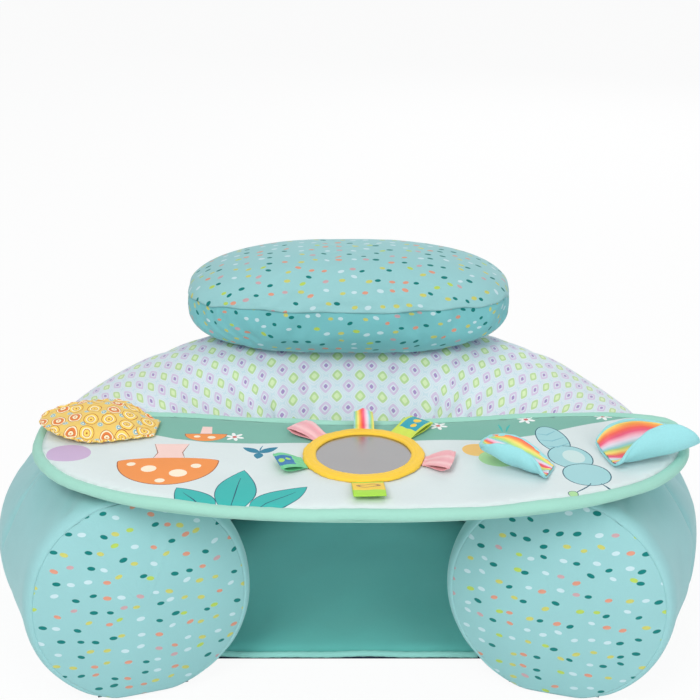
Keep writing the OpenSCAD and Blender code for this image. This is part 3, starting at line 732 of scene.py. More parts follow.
def ring_points():
    t, u, side = ring_t[:-1], ring_u[:-1], ring_side[:-1]
    points = skin(t, u, 0.0008)
    points[..., 0] *= side
    x, y, _, _ = path_point(t)
    middle = np.stack([side * x, y + WELL_Y, np.full_like(t, 0.09)], -1)
    normal = facing(grid_normals(points, wrap_rows=True), points - middle)
    depth = 0.6 * gathers(t, side, u) + waves(5, points, 0.13) * 0.0009
    return points - normal * depth[..., None], normal


def gathers(t, side, u):
    """How deep the well's gathers lie at a place of the ring."""
    phi = np.degrees(np.minimum(t, ARC_LEN) / CENTRE_R) * side
    rise = np.radians(INNER_SEAM - u) * TUBE_R
    over = (u < INNER_SEAM) & (t < sleeve_seam(u) - 0.004)
    return np.where(over, pleats(phi, np.maximum(rise, 0)), 0)


def blown_ring(points):
    """The stuffed ring after the cloth simulation, still held at its seams, base and seats."""
    t, u = ring_t[:-1], ring_u[:-1]
    flat_low = points[..., 2] < BASE_T + 0.0045
    flat_high = points[..., 2] > seat_z(t) - 0.0042
    zip_turn = math.radians(46)
    held = np.zeros(t.shape)
    held[0, :] = 0.45
    held[N_OVER, :] = 0.5
    held[0, np.abs(t[0]) < zip_turn * CENTRE_R] = 1.0
    held[flat_low | (flat_high & (np.abs(np.sin(np.radians(u))) > 0.9))] = 1.0
    held[:, [0, -1]] = 1.0
    for column in (COVER_FIRST, COVER_LAST):
        held[:, column] = np.maximum(held[:, column], 0.35)
    near_seam = bell(t - sleeve_seam(u), 0.030) + bell(PATH_LEN - t, 0.025)
    near_inner = bell((u - INNER_SEAM) * math.radians(1) * TUBE_R, 0.05)
    swell = 0.008 + 0.022 * np.clip(near_seam + near_inner, 0, 1)
    faces, _ = grid_faces(*t.shape, wrap_rows=True)
    out = inflate(points.reshape(-1, 3), faces, held.ravel(), 3.2, swell.ravel(), 0.0065)
    return out.reshape(points.shape)


def seamed_ring(points, normal):
    """Draws the skin in along every seam, so that each panel turns in at its edge."""
    depth = np.zeros(points.shape[:2])
    beside_seam = ((0, 0.0021), (1, 0.0005), (-1, 0.0005))
    for row in (0, N_OVER):
        for offset, deep in beside_seam:
            depth[row + offset, COVER_FIRST:COVER_LAST + 1] += deep
    for column in (COVER_FIRST, COVER_LAST, 0, points.shape[1] - 1):
        for offset, deep in beside_seam:
            if 0 <= column + offset < points.shape[1]:
                depth[:, column + offset] = np.maximum(depth[:, column + offset], deep)
    drawn = points - normal * depth[..., None]
    drawn[..., 2] = np.clip(drawn[..., 2], BASE_T + 0.0001, seat_z(ring_t[:-1]) + 0.0004)
    return drawn


def ring_uv():
    """Cloth coordinates of the ring, in metres: along it, and round it from its top."""
    t, u, side = ring_t, ring_u, ring_side
    over = np.maximum(0, t - ARC_LEN)
    phi = np.minimum(t, ARC_LEN) / CENTRE_R
    r = CENTRE_R + TUBE_W / 2 * np.cos(np.radians(u))
    panel = math.radians(38)
    along = np.minimum(phi, panel) * r + np.maximum(0, phi - panel) * (0.6 * CENTRE_R + 0.4 * r) + over
    # Cloth taken up by the fans of gathers.
    rise = np.radians(INNER_SEAM - u) * TUBE_R
    fade = smooth(1.2 - rise / 0.16) * (u < INNER_SEAM)
    for way, knot in KNOTS:
        for k, offset in enumerate(FAN):
            spread = 0.7 + 6 * np.clip(rise, 0, 0.15)
            step = np.tanh((np.degrees(phi) * side - way * knot - offset) / spread)
            along = along + side * 0.0034 * fade * (1 if k % 2 else 0.7) * step
    around = np.radians(90 - u) * TUBE_R + 0.0012 * fade * np.sin(phi * 40 + rise * 60)
    return np.stack([along * side, around], -1)


def make_ring():
    points, normal = ring_points()
    points = blown_ring(points)
    normal = facing(grid_normals(points, wrap_rows=True), normal)
    points = points - normal * 1.5 * gathers(ring_t[:-1], ring_side[:-1], ring_u[:-1])[..., None]
    points = seamed_ring(points, normal)
    uv = ring_uv()
    wrapped = np.concatenate([points, points[:1]])
    cover, over, under = slice(COVER_FIRST, COVER_LAST + 1), slice(0, N_OVER + 1), slice(N_OVER, None)
    for name, rows, finish, slot, nodes in (
            ("printed_cover", over, diamonds, "diamond_print", ("top_cover", "ring_filling")),
            ("plain_cover", under, aqua_cloth, "aqua_fabric", ("lower_cover",))):
        piece = grid_piece(name, "seat", wrapped[rows, cover], finish, slot, uv=uv[rows, cover],
                           thick=COVER_T, replaces=nodes)
    for name, columns in (("left", slice(0, COVER_FIRST + 1)), ("right", slice(COVER_LAST, None))):
        piece = grid_piece("sleeve_" + name, "seat", points[:, columns], aqua_cloth, "aqua_fabric",
                           uv=uv[:, columns], wrap_rows=True, thick=COVER_T,
                           replaces=("arm_sleeve_" + name,))
    return points


def cap_middle():
    """The middle of the right arm's end."""
    x, y, _, _ = path_point(np.array(PATH_LEN))
    high = (float(tube_top(np.array(PATH_LEN))) - BASE_T + SINK) / 2
    return np.array([float(x), float(y) + WELL_Y, BASE_T - SINK + high])


def make_cap(name, side, rim):
    """A domed end cap with a light pucker along its seam. rim is the sleeve's last ring."""
    mirror = np.array([side, 1, 1])
    base, ahead = cap_middle() * mirror, np.append(ARM_AHEAD, 0) * mirror
    across = np.append(ARM_ACROSS, 0) * mirror
    count = len(rim)
    angle = circle(count)
    pucker = 0.55 * np.sin(angle * 31 + 2 * np.sin(angle * 3)) + 0.45 * np.sin(angle * 47 + 1.0)
    rings, flats = [], []
    for f in (1.0, 0.975, 0.95, 0.9, 0.84, 0.77, 0.69, 0.6, 0.5, 0.4, 0.3, 0.2, 0.1):
        flat = base + (rim - base) * f
        dome = CAP_BULGE * (1 - f ** 2.6) * 1.04
        crease = -0.0007 * pucker * bell(f - 0.95, 0.05) if f < 1 else 0 * pucker
        slump = 0.0012 * waves(21 + int(side), flat, 0.12) * (1 - f)
        rings.append(flat + ahead * (dome + crease + slump)[:, None])
        flats.append(flat)

    def plane(p):
        return np.stack([(p - base) @ across + side, (p - base)[..., 2]], -1)

    uv = plane(np.concatenate([np.array(flats), np.array(flats)[:, :1]], 1))
    faces, corners = grid_faces(len(rings), count, wrap_cols=True)
    uvs = at_corners(uv, corners)
    verts = np.concatenate([np.array(rings).reshape(-1, 3), (base + ahead * CAP_BULGE * 1.04)[None]])
    last = (len(rings) - 1) * count
    for j in range(count):
        faces.append([last + j, last + (j + 1) % count, len(verts) - 1])
        uvs.append([uv[-1, j], uv[-1, j + 1], plane(base[None])[0]])
    if side > 0:
        faces, uvs = backwards(faces), backwards(uvs)
    piece = new_piece("cap_" + name, "seat", verts, faces, confetti, "confetti_print", uvs=uvs,
                      thick=COVER_T, replaces=("end_cap_" + name,))


ring = make_ring()
make_cap("left", -1, ring[:, 0])
make_cap("right", 1, ring[:, -1])
ring_faces, _ = grid_faces(*ring.shape[:2], wrap_rows=True)
ring_tree = BVHTree.FromPolygons([tuple(p) for p in ring.reshape(-1, 3)], ring_faces)


def ring_height(x, y):
    """Height of the ring's top under a point, or 0 beside it."""
    hit = ring_tree.ray_cast(Vector((float(x), float(y), 0.4)), Vector((0, 0, -1)))[0]
    return hit.z if hit else 0.0


# --- Floor pad, piping and base
def make_floor():
    """The padded floor of the well, dented and creased, with a lip at its straight front."""
    inset = 0.0005
    rows = np.linspace(-FLOOR_FRONT + inset, 0.163, 62)
    q = np.linspace(-1, 1, 61)
    half = np.sqrt(np.maximum(FLOOR_R ** 2 - rows ** 2, 0)) - inset
    x = half[:, None] * q[None, :]
    y = np.repeat(rows[:, None], len(q), 1)
    place = np.stack([x, y], -1)
    edge = FLOOR_R - np.hypot(x, y)
    front = y + FLOOR_FRONT
    puff = 0.0016 * smooth(edge / 0.04) * smooth(front / 0.03)
    angle = np.arctan2(x, y)
    creases = 0.0007 * np.sin(angle * 21 + 3 * np.sin(angle * 2)) * bell(edge - 0.018, 0.016)
    dents = 0.0011 * waves(31, place, 0.09) * smooth(front / 0.02)
    drop = 0.0028 * bell(front, 0.004)
    z = BASE_T + FLOOR_H + puff + creases + dents - drop
    top = np.stack([x, y + WELL_Y, z], -1)
    lip = top[:1].copy()
    lip[..., 2] = BASE_T + 0.0005
    points = np.concatenate([lip, top])
    piece = grid_piece("floor_pad", "seat", points, teal_cloth, "teal_fabric", uv=points[..., :2],
                       thick=0.0014, replaces=("floor_cover", "floor_foam"))


def make_piping():
    """The rolled edge along the floor's front, which sags a little here and there."""
    half = math.sqrt(FLOOR_R ** 2 - FLOOR_FRONT ** 2) - 0.002
    x = np.linspace(-half, half, 120)
    sag = 0.0007 * np.sin(x * 42 + 0.8) + 0.0005 * np.sin(x * 95)
    path = np.stack([x, WELL_Y - FLOOR_FRONT - 0.0026 + 0.6 * sag, BASE_T + 0.0027 + 0.35 * sag], -1)
    path[:, 2] = np.maximum(path[:, 2], BASE_T + 0.0026)
    radius = 0.0025 + 0.0001 * np.sin(x * 600)[:, None]
    piece = tube_piece("floor_piping", "seat", path, radius, 12, piping_cloth, "teal_piping",
                       replaces=("front_piping",), levels=0)


def base_outline():
    """Outline of the base fabric: a wide arc, the two arms and the floor's straight front."""
    r = CENTRE_R + BASE_HALF
    start = np.array([float(v) for v in path_point(np.array(ARC_LEN))[:2]])
    outer, inner = start + ARM_ACROSS * BASE_HALF, start - ARM_ACROSS * BASE_HALF
    reach = ARM_AHEAD * (ARM_LEN - 0.010)
    to_front = ARM_AHEAD / -ARM_AHEAD[1] * (inner[1] + FLOOR_FRONT + 0.002)
    arc = [(r * math.sin(a), r * math.cos(a)) for a in np.linspace(0, math.radians(ARC_DEG - 1), 50)]
    half = [tuple(p) for p in arc + [outer, outer + reach, inner + reach, inner + to_front]]
    return [(x, y + WELL_Y) for x, y in half + [(-x, y) for x, y in half[:0:-1]]]


def filled(outline, step, shapes=()):
    """Triangles that fill an outline, with points a step apart, cut along the shapes.
    Gives the points, the triangles and the number of the last shape over each, from 1."""
    edge = np.asarray(outline)
    low, high = edge.min(0), edge.max(0)
    xs = np.arange(low[0], high[0], step) + step / 2
    ys = np.arange(low[1], high[1], step) + step / 2
    loops = [list(map(tuple, outline))] + [list(map(tuple, s)) for s in shapes]
    points, faces = [], []
    for loop in loops:
        if sum(a[0] * b[1] - a[1] * b[0] for a, b in zip(loop, loop[1:] + loop[:1])) < 0:
            loop = loop[::-1]
        faces.append(list(range(len(points), len(points) + len(loop))))
        points += [Vector(p) for p in loop]
    for i, x in enumerate(xs):
        for y in ys:
            points.append(Vector((x, y + (step / 2 if i % 2 else 0))))
    out, _, triangles, _, _, origins = delaunay_2d_cdt(points, [], faces, 1, 1e-6)
    kept, marks = [], []
    for triangle, origin in zip(triangles, origins):
        if 0 in origin:
            kept.append(list(triangle))
            marks.append(max(origin))
    used = sorted({v for f in kept for v in f})
    number = {v: i for i, v in enumerate(used)}
    return (np.array([tuple(out[v]) for v in used]), [[number[v] for v in f] for f in kept], marks)


def make_base():
    outline = base_outline()
    flat, faces, _ = filled(outline, 0.02)
    verts = np.column_stack([flat, np.full(len(flat), BASE_T)])
    piece = new_piece("grip_cloth", "seat", verts, faces, base_cloth, "dark_grip", thick=BASE_T,
                      levels=0, replaces=("base_fabric",), uvs=plan_uvs(flat, faces))
    area = sum(abs(np.cross(flat[f[1]] - flat[f[0]], flat[f[2]] - flat[f[0]])) / 2 for f in faces)
    size = flat.max(0) - flat.min(0)


make_floor()
make_piping()
make_base()


# --- Zip
def round_back(angle, out, z):
    """A point at a heading round the ring, a way out from its widest line."""
    r = RING_W / 2 + out
    return (math.sin(angle) * r, math.cos(angle) * r + WELL_Y, z)


def make_zip():
    """The zip's tape round the back of the ring, with its two rows of teeth."""
    half_turn, teeth_turn, tape_wide, pitch = math.radians(43), math.radians(40), 0.022, 0.0026
    z, r = (ZIP_LOW.z + ZIP_HIGH.z) / 2, RING_W / 2
    angles = np.linspace(-half_turn, half_turn, 150)
    across = np.linspace(-tape_wide / 2, tape_wide / 2, 9)
    rise = (0.0004, 0.0008, 0.0010, 0.0012, 0.0012, 0.0012, 0.0010, 0.0008, 0.0004)
    points = np.array([[round_back(a, h, z + c) for c, h in zip(across, rise)] for a in angles])
    uv = np.array([[(a * r, c) for c in across] for a in angles])
    tape_piece = grid_piece("zip_ribbon", "seat", points, zip_cloth, "zip_tape", uv=uv, thick=0.0009,
                            levels=0, replaces=("zip_tape",), flip=True)
    verts, faces = [], []
    for i in range(int(2 * teeth_turn * r / pitch)):
        side = 1 if i % 2 else -1
        first = len(verts)
        verts += [round_back(-teeth_turn + i * pitch / r + along / r, h, z + c)
                  for along in (-0.0009, 0.0009) for h in (0.0010, 0.0022)
                  for c in sorted((-0.0005 * side, 0.0020 * side))]
        for quad in ((0, 1, 3, 2), (4, 6, 7, 5), (0, 4, 5, 1), (2, 3, 7, 6), (0, 2, 6, 4), (1, 5, 7, 3)):
            faces.append([first + v for v in quad])
    teeth = new_piece("zip_teeth", "seat", verts, faces, zip_cloth, "zip_tape", levels=0)
    bevel = teeth.modifiers.new("soft_edges", "BEVEL")
    bevel.width = 0.0003
    bevel.segments = 2


make_zip()


# --- Bolster
CROWN = (2.15, BOLSTER_CROWN)        # roundness and height over and under the seam
BELLY = (3.2, BOLSTER_DROP)


def squared(angle):
    """Point of a rounded oblong of half sides 1, at an angle."""
    return signed_power(np.cos(angle), 2 / 3), signed_power(np.sin(angle), 2 / 3)


def bolster_point(f, angle, up, shrink):
    """Point at share f of the bolster's plan and an angle round it, on its crown or belly."""
    side_x, side_y = squared(angle)
    x = (BOLSTER_W / 2 - shrink) * f * side_x
    y = BOLSTER_BACK + (BOLSTER_D / 2 - shrink) * f * side_y
    power, high = CROWN if up else BELLY
    rise = np.maximum(0, 1 - f ** power) ** (1 / power)
    z = BOLSTER_MID_Z + (1 if up else -1) * (high - shrink) * rise
    x, y, z = np.broadcast_arrays(x, y, z)
    return np.stack([x, y + WELL_Y, z], -1)


def laid_flat(f, angle, up, extra=0.0):
    """Cloth coordinates of a point of the bolster: lengths over its curve, across and along
    it. extra goes on past its widest line."""
    side_x, side_y = squared(angle)
    x, y = BOLSTER_W / 2 * f * side_x, BOLSTER_D / 2 * f * side_y
    power, high = CROWN if up else BELLY

    def height(px, py):
        g = ((np.abs(px) / (BOLSTER_W / 2)) ** 3 + (np.abs(py) / (BOLSTER_D / 2)) ** 3) ** (1 / 3)
        return high * np.maximum(0, 1 - np.minimum(g, 1) ** power) ** (1 / power)

    share = np.sin(np.linspace(0, math.pi / 2, 48))
    px, py = x[..., None] * share, y[..., None] * share
    along = np.hypot(np.diff(px), np.diff(height(px, y[..., None]))).sum(-1) + extra * np.abs(side_x)
    across = np.hypot(np.diff(py), np.diff(height(x[..., None], py))).sum(-1) + extra * np.abs(side_y)
    return np.stack([np.sign(x) * along, np.sign(y) * across + (0 if up else 0.5)], -1)


def bolster_creases():
    """Folds that the photograph shows: fans at the ends and a few short ones in front, each
    from one angle and height to another."""
    ends = [(200, 222, 0.227, 0.190), (208, 232, 0.227, 0.190), (217, 240, 0.227, 0.190),
            (226, 247, 0.227, 0.190), (352, 336, 0.226, 0.200), (345, 328, 0.226, 0.200),
            (281, 283, 0.226, 0.205), (284.5, 286.5, 0.226, 0.205), (288, 290, 0.226, 0.205),
            (262, 258, 0.222, 0.196), (303, 300, 0.225, 0.205)]
    lines = []
    for a_start, a_end, z_start, z_end in ends:
        line = []
        for f in np.linspace(0, 1, 8):
            drop = min(max((BOLSTER_MID_Z - mix(z_start, z_end, f)) / BOLSTER_DROP, 0.0), 0.999)
            plan = np.array((1 - drop ** BELLY[0]) ** (1 / BELLY[0]))
            line.append(bolster_point(plan, math.radians(mix(a_start, a_end, f)), False, 0.001))
        lines.append(line)
    return lines


def bolster_rings(angle, top_f, low_f):
    """The bolster's skin before it is blown up, ring by ring from the middle of its crown over
    the seam to the middle of its belly, and which of its points rest on the seat."""
    inset, air, seam = 0.0012, 0.0014, len(top_f) - 1
    rings = np.array([bolster_point(f, angle, True, inset) for f in top_f]
                     + [bolster_point(f, angle, False, inset) for f in low_f])
    from_seam = np.abs(np.arange(len(rings)) - seam)[:, None]
    wave = 0.0010 * np.sin(angle * 9 + 2 * np.sin(angle * 2)) + 0.0006 * np.sin(angle * 19 + 1)
    rings[..., 2] += wave * bell(from_seam, 3.0)
    floor = np.array([[ring_height(p[0], p[1]) + air for p in row] for row in rings])
    off = np.hypot(rings[..., 0], rings[..., 1] - WELL_Y)
    strip = (np.abs(off - STRIP_R) < 0.014) & (np.abs(rings[..., 0]) < 0.040)
    over_strips = BACK_SEAT_Z + 2 * STRIP_T + STRIP_GAP + 0.0002
    floor = np.where(strip, np.maximum(floor, over_strips), floor)
    resting = (floor > rings[..., 2]) & (from_seam > 0) & (np.arange(len(rings)) > seam)[:, None]
    rings[..., 2] = np.where(resting, floor, rings[..., 2])
    return rings, resting


def blown_bolster(rings, resting, seam):
    """The stuffed bolster after the cloth simulation, with its creases."""
    rows, count = rings.shape[:2]
    verts = np.concatenate([rings.reshape(-1, 3), [rings[0].mean(0)], [rings[-1].mean(0)]])
    crown_tip, belly_tip = len(verts) - 2, len(verts) - 1
    faces, _ = grid_faces(rows, count, wrap_cols=True)
    for j in range(count):
        k = (j + 1) % count
        faces += [[j, crown_tip, k], [(rows - 1) * count + j, (rows - 1) * count + k, belly_tip]]
    held = np.zeros((rows, count))
    held[seam] = 0.7
    held[resting] = 1.0
    from_seam = np.abs(np.arange(rows) - seam)[:, None]
    least = 0.004
    swell = least + 0.012 * bell(from_seam, 6.0) * np.ones(count)
    blown = inflate(verts, faces, np.append(held.ravel(), [0.0, 1.0]), 3.0,
                    np.append(swell.ravel(), [least, least]), 0.0050, stiff=14)
    grid = blown[:rows * count].reshape(rows, count, 3)
    closed = np.concatenate([grid, grid[:, :1]], 1)
    normal = facing(grid_normals(closed)[:, :count], grid - grid.reshape(-1, 3).mean(0))
    depth = 0.0040 * along_lines(rings, bolster_creases(), 0.0052)
    depth[seam] *= 0.3
    return grid - normal * np.where(resting, 0, depth)[..., None]


def bolster_half(name, points, plan, finish, nodes):
    """One of the bolster's two panels. Its middle is at the crown's first or the belly's last row."""
    count = points.shape[1]
    inner, way = (0, 1) if name == "bolster_crown" else (len(points) - 1, -1)
    around = np.concatenate([plan, plan[:, :1]], 1)
    faces, corners = grid_faces(len(points), count, wrap_cols=True)
    uvs = at_corners(around, corners)
    verts = np.concatenate([points.reshape(-1, 3), points[inner].mean(0)[None]])
    for j in range(count):
        trio = [inner * count + j, len(verts) - 1, inner * count + (j + 1) % count]
        faces.append(trio[::way])
        uvs.append([around[inner, j], plan[inner].mean(0), around[inner, j + 1]][::way])
    piece = new_piece(name, "bolster", verts, backwards(faces), finish, "confetti_print",
                      uvs=backwards(uvs), thick=0.0013, replaces=nodes)


def make_bolster():
    count = 216
    angle = circle(count)
    top_f = np.concatenate([np.sin(np.radians(np.linspace(3, 80, 27))), [0.9915, 0.9955]])
    low_f = np.concatenate([[1.0], np.sin(np.radians(np.linspace(84, 3, 25)))])
    seam = len(top_f) - 1
    grid = blown_bolster(*bolster_rings(angle, top_f, low_f), seam)
    # At the seam the crown's edge laps a little over the belly's.
    out = np.stack([np.cos(angle), np.sin(angle), 0 * angle], -1)
    top_grid, low_grid = grid[:seam + 1].copy(), grid[seam:].copy()
    top_grid[-1] = grid[seam] + out * 0.0006 - [0, 0, 0.0010]
    top_grid[-2] += out * 0.0005
    low_grid[0] = grid[seam] - out * 0.0012 + [0, 0, 0.0004]
    top_uv, low_uv = (laid_flat(*np.meshgrid(f, angle, indexing="ij"), up)
                      for f, up in ((top_f, True), (low_f, False)))
    lapped = laid_flat(np.ones((1, count)), angle[None], False, 0.0055)
    bolster_half("bolster_crown", top_grid, top_uv, confetti, ("bolster_top_cover", "bolster_filling"))
    # The belly takes the darker copy of the confetti cloth, which is painted shade.
    bolster_half("bolster_belly", low_grid, np.concatenate([lapped, low_uv]), confetti_painted_shade,
                 ("bolster_bottom_cover",))



make_bolster()


# --- Touch fasteners
def make_strip(name, body, node, seat, plan):
    """A flat strip of touch fastener with a stitched border: loops on the seat, hooks on what
    it holds. plan maps -1 to 1 both ways."""
    a = np.concatenate([[-1, -0.97], np.linspace(-0.93, 0.93, 25), [0.97, 1]])
    u, v = np.meshgrid(a, a, indexing="ij")
    edge = np.minimum(1 - np.abs(u), 1 - np.abs(v))
    dip = 0.00035 * bell(edge - 0.10, 0.035) + 0.0004 * bell(edge, 0.02)
    loops = body == "seat"
    face = seat + STRIP_T - dip if loops else seat + STRIP_T + STRIP_GAP + dip
    piece = grid_piece(name, body, np.concatenate([plan(u, v), face[..., None]], -1),
                       loop_tape if loops else hook_tape, "touch_tape",
                       thick=0.0009 if loops else -0.0009, levels=0, replaces=(node,))


def make_strips():
    """The tray's two pairs of strips, on the arms, and the bolster's pair, on the back."""
    wide, long = 0.0276, 0.0596
    middle = np.array([float(v) for v in path_point(np.array(ARC_LEN + 0.062))[:2]])
    for side, label in ((-1, "left"), (1, "right")):
        def arm(u, v, side=side):
            flat = middle + u[..., None] * ARM_AHEAD * (long / 2) + v[..., None] * ARM_ACROSS * (wide / 2)
            return np.stack([flat[..., 0] * side, flat[..., 1] + WELL_Y], -1)
        make_strip("arm_loop_tape_" + label, "seat", "arm_loop_patch_" + label, ARM_SEAT_Z, arm)
        make_strip("tray_hook_tape_" + label, "tray", "tray_hook_patch_" + label, ARM_SEAT_Z, arm)
    for name, body, node, half in (("back_loop_tape", "seat", "back_loop_strip", 0.0088),
                                   ("bolster_hook_tape", "bolster", "bolster_hook_strip", 0.0078)):
        def back(u, v, half=half):
            a, r = u * math.radians(8.8), STRIP_R + v * half
            return np.stack([r * np.sin(a), r * np.cos(a) + WELL_Y], -1)
        make_strip(name, body, node, BACK_SEAT_Z, back)


make_strips()


# --- Tray
def tray_outline(inset):
    """The tray's plan, as in the part's source, but fuller by its rolled edge in front and at
    the dip behind."""
    count, fuller = 220, 0.0055
    half = TRAY_W / 2 - inset
    front = TRAY_FRONT - TRAY_WAIST - inset + fuller
    rear = TRAY_WAIST - TRAY_REAR + TRAY_DIP - inset
    points = []
    for k in range(count):
        a = (k + 0.5) * 2 * math.pi / count
        if a < math.pi:
            x = half * math.cos(a)
            dip = 0
            if abs(x) < TRAY_DIP_HALF:
                dip = (TRAY_DIP - 0.0050) * math.cos(math.pi / 2 * x / TRAY_DIP_HALF) ** 2
            y = (rear - dip) * (1 - abs(math.cos(a)) ** 5) ** 0.2
        else:
            x = half * float(signed_power(math.cos(a), 2 / 2.3))
            y = front * float(signed_power(math.sin(a), 2 / 2.3))
        points.append((x + TRAY_SHIFT, y - TRAY_WAIST + WELL_Y))
    return points


def even_loop(points, step):
    """A closed loop walked again in even steps."""
    loop = np.array(list(points) + [points[0]])
    along = np.concatenate([[0], np.cumsum(np.linalg.norm(np.diff(loop, axis=0), axis=1))])
    count = int(round(along[-1] / step))
    at = np.arange(count) * along[-1] / count
    return np.stack([np.interp(at, along, loop[:, i]) for i in range(loop.shape[1])], -1)


def at_tray(points):
    """Plan points given as (x, d in front of the well's middle)."""
    return [(x, WELL_Y - d) for x, d in points]


def turned(points, x, d, degrees):
    """Points moved to (x, d) and turned, before at_tray."""
    c, s = math.cos(math.radians(degrees)), math.sin(math.radians(degrees))
    return [(x + px * c - pd * s, d + px * s + pd * c) for px, pd in points]


def oval(x, d, a, b, degrees=0, count=30):
    return turned([(a * math.cos(v), b * math.sin(v)) for v in circle(count)], x, d, degrees)


def blade(x, d, length, width, degrees, bend=0.0):
    """A pointed leaf from (x, d), degrees from +x towards +d."""
    f = np.linspace(0, 1, 14)
    half = width / 2 * np.sin(math.pi * f ** 0.8) ** 0.85
    curve = bend * np.sin(math.pi * f / 2) ** 2
    up = [(length * a, h + c) for a, h, c in zip(f, half, curve)]
    down = [(length * a, -h + c) for a, h, c in zip(f, half, curve)][-2:0:-1]
    return turned(up + down, x, d, degrees)


def stroke(points, width):
    """A thin drawn line as a closed outline."""
    line = np.asarray(points, float)
    ahead = np.gradient(line, axis=0)
    ahead /= np.linalg.norm(ahead, axis=1)[:, None]
    side = np.stack([-ahead[:, 1], ahead[:, 0]], -1)
    taper = (width / 2 * (0.35 + 0.65 * np.sin(math.pi * np.linspace(0.02, 0.98, len(line)))))[:, None]
    return [tuple(p) for p in np.concatenate([line + side * taper, (line - side * taper)[::-1]])]


def vein(x, d, length, degrees, bend):
    """A blade's middle line."""
    f = np.linspace(0.08, 0.8, 8)
    return turned([(length * a, bend * math.sin(math.pi * a / 2) ** 2) for a in f], x, d, degrees)


def daisy(x, d):
    """White petals round a red middle, as (ink, outline)."""
    size = 0.0075
    out = []
    for k in range(6):
        a = 2 * math.pi * k / 6 + 0.3
        out.append(("white", oval(x + size * 0.62 * math.cos(a), d + size * 0.62 * math.sin(a),
                                  size * 0.46, size * 0.22, math.degrees(a), 12)))
    return out + [("red", oval(x, d, size * 0.26, size * 0.26, 0, 10))]


def grown(points, x, d, by_x, by_d, at_d=None):
    """Points moved away from (x, d), and then to at_d."""
    at_d = d if at_d is None else at_d
    return [(x + (px - x) * by_x, at_d + (pd - d) * by_d) for px, pd in points]


def meadow_shapes():
    """The meadow with its wavy edge, three hills and some daisies."""
    edge_x = [-0.275, -0.250, -0.215, -0.160, -0.1427, -0.1175, -0.072, -0.031, 0.0545, 0.112,
              0.160, 0.203, 0.240, 0.285]
    edge_d = [0.050, 0.066, 0.082, 0.100, 0.1085, 0.1146, 0.1160, 0.1160, 0.1117, 0.1102,
              0.098, 0.077, 0.064, 0.056]
    xs = np.linspace(-0.275, 0.285, 90)
    meadow = list(zip(xs, np.interp(xs, edge_x, edge_d) + 0.0006 * np.sin(xs * 60)))
    out = [("green", [(-0.275, 0.03), (0.285, 0.03)] + meadow[::-1]),
           ("lilac", oval(-0.226, 0.135, 0.018, 0.016)),
           ("orange_pale", oval(0.104, 0.129, 0.012, 0.011)),
           ("green_pale", oval(0.121, 0.145, 0.017, 0.014, 20))]
    for x, d in ((-0.094, 0.103), (0.075, 0.083), (0.150, 0.068), (-0.020, 0.066), (0.216, 0.062)):
        out += daisy(x, d)
    return out


def leaf_shapes():
    """A clump of pointed leaves at the front edge, and a small sprig."""
    out = []
    clump_d, sprig_x, sprig_d = 0.2345, -0.072, 0.134
    for x, degrees, length, width, bend in ((-0.104, 236, 0.046, 0.026, -0.003),
                                            (-0.074, 314, 0.056, 0.025, 0.004),
                                            (-0.090, 279, 0.068, 0.031, -0.003)):
        out += [("ink", blade(x, clump_d, length + 0.0008, width + 0.0016, degrees, bend)),
                ("teal", blade(x, clump_d, length, width, degrees, bend)),
                ("ink", stroke(vein(x, clump_d, length, degrees, bend), 0.0010))]
    for degrees, length in ((215, 0.017), (325, 0.018), (95, 0.012)):
        out.append(("blue", blade(sprig_x, sprig_d, length, 0.0075, degrees)))
    return out + [("blue", stroke([(sprig_x, sprig_d), (-0.0715, 0.127), (-0.070, 0.121)], 0.0012))]


def toadstool_shapes():
    """The large toadstool, with its cap to the front: upright as the baby sees it."""
    x, d, half, high, under = -0.144, 0.150, 0.040, 0.042, 0.006
    stem = [(-0.158, 0.118), (-0.130, 0.118), (-0.134, 0.134), (-0.131, 0.152), (-0.157, 0.152),
            (-0.154, 0.134)]
    dome = [(x + half * math.cos(a), d + high * math.sin(a)) for a in np.linspace(0, math.pi, 30)]
    brim = [(x - half * math.cos(a), d - under * math.sin(a))
            for a in np.linspace(0, math.pi, 16)[1:-1]]
    out = [("ink_brown", grown(dome + brim, x, d, 1.02, 1.02)), ("pink_pale", stem),
           ("orange", dome + brim)]
    for spot_x, spot_d, r in ((-0.158, 0.164, 0.0062), (-0.134, 0.172, 0.0072), (-0.147, 0.185, 0.0040),
                              (-0.121, 0.159, 0.0042), (-0.173, 0.155, 0.0036)):
        out.append(("cream", oval(spot_x, spot_d, r, r * 0.9, 0, 18)))
    for side in (-1, 1):
        line = [(x + side * off, at) for off, at in ((0.0140, 0.118), (0.0100, 0.134), (0.0125, 0.144))]
        out.append(("ink_brown", stroke(line, 0.0008)))
    return out


def butterfly_shapes():
    """The butterfly's body, between the two sewn wings, with its head to the front."""
    out = []
    for x, d, a, b, turn in ((0.168, 0.108, 0.026, 0.0120, 78), (0.178, 0.143, 0.022, 0.0170, 74),
                             (0.187, 0.174, 0.0195, 0.0185, 70)):
        out += [("ink", oval(x, d, a + 0.0006, b + 0.0006, turn)),
                ("sky", oval(x, d, a - 0.0003, b - 0.0003, turn))]
    for x, d, half in ((0.164, 0.094, 0.0075), (0.167, 0.106, 0.0105), (0.170, 0.118, 0.0100)):
        band = [(x - half, d + 0.003), (x, d + 0.0055), (x + half, d - 0.002)]
        out.append(("sky_dark", stroke(band, 0.0022)))
    out.append(("sky_pale", oval(0.181, 0.141, 0.012, 0.0085, 74)))
    for lean, knob in ((-1, "green_pale"), (1, "pink")):
        feeler = [(0.192 + lean * (0.004 + 0.016 * f ** 1.5), 0.189 + 0.018 * f)
                  for f in np.linspace(0, 1, 10)]
        out += [("ink", stroke(feeler, 0.0013)), ("ink", oval(*feeler[-1], 0.0042, 0.0040, 0, 16)),
                (knob, oval(*feeler[-1], 0.0036, 0.0034, 0, 16))]
    return out


